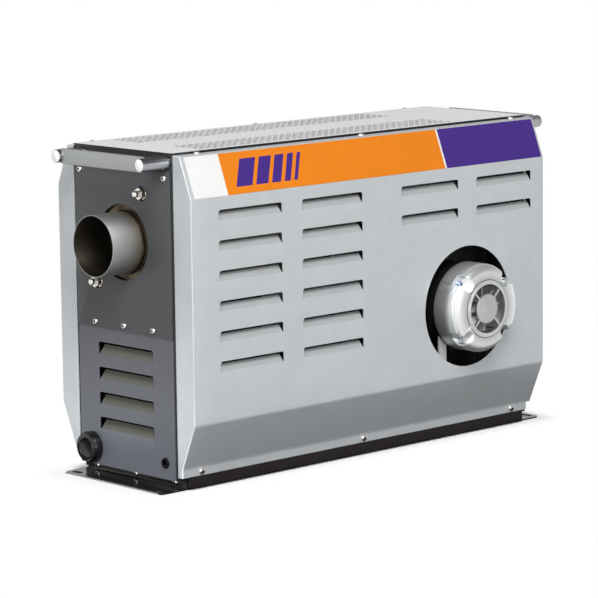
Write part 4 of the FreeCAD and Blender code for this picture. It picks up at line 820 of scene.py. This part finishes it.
def makeGland():
    p = entries
    nut = nodeCopy("cable_gland")
    corners = [e for e in nut.edges if e.calc_face_angle(0.0) > p["glandTurn"]
               and abs((e.verts[1].co - e.verts[0].co).normalized().x) > p["alongAxis"]]
    roundOff(nut, corners, p["glandRound"], steps=4)
    putPiece(nut, "cableGland", "blackPlastic", ("cable_gland",), edge=p["glandEase"])


def makeFoot(name, node):
    bm = nodeCopy(node)
    outer = max(bm.verts, key=lambda v: abs(v.co.x)).co.x
    # the foot's outer end faces get pale grey: a bare cut edge and a painted highlight
    paintFaces(bm.faces, lambda f, spot: all(abs(v.co.x - outer) < feet["tip"] for v in f.verts))
    putPiece(bm, name, "footPaint punchedEdge", (node,), edge=feet["ease"])


easeNode("control_grommet", "blackRubber", entries["ease"])
easeNode("motor_frame", "insideBlack", entries["ease"])
makeGland()
makeFoot("outletFoot", "outlet_foot")
makeFoot("rearFoot", "rear_foot")


# motor: bracket, fan, front bell and its bolts

motor = {"bracketShadeSplit": 150.0, "bracketEase": 0.3, "fanEase": 0.2, "bellEase": 0.35, "pocketReach": 8.6,
         "boltY": -123.3, "boltCircle": 46.5, "boltOut": 2.2, "boltScale": 1.0, "boltLength": 21.9,
         "headStretch": 2.1, "bend": 40}


def boltSpots(reach):
    angles = [math.radians(45 + 90 * quarter) for quarter in range(4)]
    return [(cabinet["motorX"] + reach * math.cos(a), motor["boltY"], cabinet["motorZ"] + reach * math.sin(a))
            for a in angles]


def makeMotor():
    p = motor
    bracket = nodeCopy("motor_bracket")
    # the bracket beyond this X gets black: painted shade on its far leg
    paintFaces(bracket.faces, lambda f, spot: spot.x > p["bracketShadeSplit"])
    putPiece(bracket, "motorBracket", "bracketPaint insideBlack", ("motor_bracket",),
             edge=p["bracketEase"])
    putPiece(nodeCopy("cooling_fan"), "coolingFan", "fanPlastic", ("cooling_fan",),
             body="rotor", edge=p["fanEase"])
    bell = nodeCopy("motor_bell", False)
    # only the outlet-side pockets get the pale paint: a milled face and a painted highlight where the light
    # falls
    litPockets = [spot for spot in boltSpots(p["boltCircle"]) if spot[0] < cabinet["motorX"]]

    def inLitPocket(face, spot):
        tip = min(face.verts, key=lambda v: v.co.y).co
        return any(math.hypot(tip.x - x, tip.z - z) < p["pocketReach"] for x, y, z in litPockets)

    paintFaces(bell.faces, inLitPocket)
    putPiece(bell, "motorBell", "bellCasting milledPocket", ("motor_bell",),
             edge=p["bellEase"])
    bolt = screwShape(p["boltScale"], p["boltLength"])
    bmesh.ops.scale(bolt, vec=(1, 1, p["headStretch"]), verts=[v for v in bolt.verts if v.co.z > 0])
    places = [(spot, "front") for spot in boltSpots(p["boltCircle"] + p["boltOut"])]
    # the bolts' recesses get dark blue: painted shade
    putPiece(repeated(bolt, places), "bellBolts", "blueZinc blueRecess", ("bell_bolts",),
             bend=p["bend"])


makeMotor()
print("feet, entries and motor made")


# label film on the slanted band: plain fields with a simple stripe motif

label = {"coats": "labelWhite labelOrange labelPurple", "startX": 6.0, "whiteEnd": 60.0, "orangeEnd": 432.5,
         "purpleStart": 435.5, "endX": 613.5, "topGap": 2.0, "lowGap": 0.4, "lift": 0.12, "sheet": 0.1,
         "corner": 2.0, "bandGap": 9.0, "lean": 16.0, "bend": 40,
         "stripes": ((76, 26), (108, 20), (134, 15), (155, 10), (171, 6))}


def makeLabel():
    c, p = cabinet, label
    high = math.hypot(c["topInset"], c["topZ"] - c["labelZ"]) - p["topGap"]
    bandLow, bandHigh = p["lowGap"] + p["bandGap"], high - p["bandGap"]
    bandTall = bandHigh - bandLow
    bm = flatSheet(p["startX"], p["lowGap"], p["endX"], high)
    roundOff(bm, bm.verts[:], p["corner"], steps=4, affect="VERTICES")
    cutLines(bm, 0, [p["whiteEnd"], p["orangeEnd"], p["purpleStart"]])
    cutLines(bm, 1, (bandLow, bandHigh))

    def inBand(spot):
        return bandLow < spot.y < bandHigh and p["whiteEnd"] < spot.x < p["orangeEnd"]

    tilt = Vector((bandTall, -p["lean"], 0)).normalized()
    for start, width in p["stripes"]:
        for x in (start, start + width):
            strip = [f for f in bm.faces if inBand(f.calc_center_median())]
            geom = list(dict.fromkeys(g for f in strip for g in (*f.verts, *f.edges))) + strip
            bmesh.ops.bisect_plane(bm, geom=geom, dist=tolerance["merge"], plane_co=(x, bandLow, 0),
                                   plane_no=tilt)

    def tone(face, spot):
        along = spot.x - (spot.y - bandLow) * p["lean"] / bandTall
        inStripe = inBand(spot) and any(start < along < start + width for start, width in p["stripes"])
        if inStripe or spot.x > p["purpleStart"]:
            return coatIndex(p["coats"], "labelPurple")
        return p["whiteEnd"] < spot.x < p["orangeEnd"]

    paintFaces(bm.faces, tone)
    thicken(bm, (0, 0, p["sheet"]))
    lean = math.atan2(c["topInset"], c["topZ"] - c["labelZ"])
    up = Vector((0, math.sin(lean), math.cos(lean)))
    outward = Vector((0, -math.cos(lean), math.sin(lean)))
    foot = Vector((c["outletX"], c["midY"] - c["halfWidth"], c["labelZ"])) + outward * p["lift"]
    place = Matrix(((1, 0, 0, foot.x), (0, up.y, outward.y, foot.y), (0, up.z, outward.z, foot.z),
                    (0, 0, 0, 1)))
    bmesh.ops.transform(bm, matrix=place, verts=bm.verts)
    bmesh.ops.recalc_face_normals(bm, faces=bm.faces)
    return putPiece(bm, "labelFilm", p["coats"], bend=p["bend"])


makeLabel()
print("label film made")


# the nodes that keep their solids get their finish

nodeCoats = {
    "framePaint": "outlet_end_frame rear_end_frame",
    # the pan's black wall also stands in for the shadow under the cabinet: painted shadow
    "panBlackAndShadow": "base_pan",
    # the top rails get black: painted shade in the gap under the cover's edge
    "insideBlack": "front_top_rail back_top_rail",
    # the inner parts get a darkened zinc: painted shade inside the cabinet
    "zincSheetShaded": "heater_saddle scroll_stand blower_scroll blower_back_plate blower_inlet_cover inlet_ring "
                 "impeller",
    "heatedSteel": "heater_case duct_adapter",
    "nickel": "handle_nuts",
    "glassCloth": "insulation_jacket",
    "rodSheath": "heating_rods",
    "ceramic": "outlet_rod_support blower_rod_support",
    "castAluminium": "front_end_shield drive_end_shield",
    "groundSteel": "front_bearing drive_bearing motor_shaft",
    "coreSteel": "stator_core rotor_core",
    "copperWire": "front_winding drive_winding",
    "blackPlastic": "gland_locknut terminal_block",
}
for key, names in nodeCoats.items():
    for node in names.split():
        nodes[node].data.materials.clear()
        nodes[node].data.materials.append(finish[key])
print("inner nodes finished")


# floor, light and camera

studio = {
    "floorSize": 16.0, "floorColour": 0.9, "floorBounce": 0.08, "floorDrop": 0.0003, "middle": 0.018,
    "footprint": (0.331, 0.093), "shadowReach": (0.0, 0.04), "mirrorReach": (0.08, 0.20),
    "sky": ((0.18, 0.95), (0.5, 0.14)),  # height in the room and brightness there
    "lampTarget": (0, 0.02, 0.2),
    "lamps": (("key", (-2.0, -2.7, 3.5), 2.4, 205.0), ("side", (-3.0, -0.3, 0.9), 1.8, 40.0),
              ("front", (-0.9, -3.6, 1.1), 2.4, 16.0)),
    "lens": 185.972, "sensor": 36, "farClip": 60, "cameraSpot": (-2.69051, -2.84935, 0.8103),
    "cameraTurn": (81.0461, 0.6933, -43.1377),
}


def addToScene(name, data, spot, turn=(0, 0, 0)):
    holder = bpy.data.objects.new(name, data)
    holder.location = spot
    holder.rotation_euler = turn
    scene.collection.objects.link(holder)
    return holder


def areaLight(name, spot, size, power):
    lamp = bpy.data.lights.new(name, "AREA")
    lamp.shape = "DISK"
    lamp.size = size
    lamp.energy = power
    aim = Vector(studio["lampTarget"]) - Vector(spot)
    addToScene(name, lamp, spot, aim.to_track_quat("-Z", "Y").to_euler())


def mixed(tree, share, first, second):
    node = tree.nodes.new("ShaderNodeMixShader")
    for source, socket in zip((share, first, second), node.inputs):
        tree.links.new(source, socket)
    return node.outputs["Shader"]


def makeWorld():
    world = bpy.data.worlds.new("studio")
    scene.world = world
    world.use_nodes = True
    tree = world.node_tree
    shades = [(height, (shade,) * 3) for height, shade in studio["sky"]]
    sky = ramp(tree, placeAxes(tree, "Generated")["Z"], shades)
    room = tree.nodes["Background"]
    tree.links.new(sky, room.inputs["Color"])
    white = addNode(tree, "ShaderNodeBackground", Color=(1, 1, 1, 1), Strength=1.0)
    path = tree.nodes.new("ShaderNodeLightPath")
    seen = mixed(tree, path.outputs["Is Camera Ray"], room.outputs["Background"], white.outputs["Background"])
    tree.links.new(seen, tree.nodes["World Output"].inputs["Surface"])


def floorFinish():
    mat, tree, surface = shaderNodes("pale floor")
    tree.nodes.remove(surface)
    axes = placeAxes(tree)
    away = []  # how far a spot lies outside the heater's own footprint
    for axis, half in zip("XY", studio["footprint"]):
        beyond = mathNode(tree, "SUBTRACT", mathNode(tree, "ABSOLUTE", axes[axis]), half)
        away.append(mathNode(tree, "POWER", mathNode(tree, "MAXIMUM", beyond, 0.0), 2.0))
    gap = mathNode(tree, "SQRT", mathNode(tree, "ADD", *away))
    path = tree.nodes.new("ShaderNodeLightPath")
    cameraRay = path.outputs["Is Camera Ray"]
    mirrored = mathNode(tree, "MAXIMUM", path.outputs["Is Glossy Ray"], path.outputs["Is Transmission Ray"])
    shares = []
    for reach, rays in ((studio["shadowReach"], cameraRay), (studio["mirrorReach"], mirrored)):
        clear = mapped(tree, gap, "SMOOTHSTEP", From_Min=reach[0], From_Max=reach[1])
        shares.append(mathNode(tree, "MULTIPLY", clear, rays))
    pale, dull = (addNode(tree, "ShaderNodeBsdfDiffuse", Color=(*(studio[key],) * 3, 1)).outputs["BSDF"]
                  for key in ("floorColour", "floorBounce"))
    white = addNode(tree, "ShaderNodeEmission", Color=(1, 1, 1, 1), Strength=1.0)
    # inside the footprint the camera sees the dull floor: painted shade under the heater, seen through the
    # feet's slots and under the base
    uncovered = mathNode(tree, "GREATER_THAN", gap, 0.0)
    near = mixed(tree, mathNode(tree, "MULTIPLY", cameraRay, uncovered), dull, pale)
    whole = mixed(tree, mathNode(tree, "MAXIMUM", *shares), near, white.outputs["Emission"])
    tree.links.new(whole, tree.nodes["Material Output"].inputs["Surface"])
    return mat


def makeStudio():
    s = studio
    makeWorld()
    bm = bmesh.new()
    bmesh.ops.create_grid(bm, x_segments=1, y_segments=1, size=s["floorSize"] / 2)
    mesh = bpy.data.meshes.new("floor")
    bm.to_mesh(mesh)
    bm.free()
    mesh.materials.append(floorFinish())
    floor = addToScene("floor", mesh, (0, s["middle"], -s["floorDrop"]))
    for lamp in s["lamps"]:
        areaLight(*lamp)
    lens = bpy.data.cameras.new("camera")
    lens.lens = s["lens"]
    lens.sensor_width = s["sensor"]
    lens.clip_end = s["farClip"]
    turn = [math.radians(angle) for angle in s["cameraTurn"]]
    scene.camera = addToScene("camera", lens, s["cameraSpot"], turn)
    scene.view_settings.view_transform = "Standard"


makeStudio()
print("studio made")
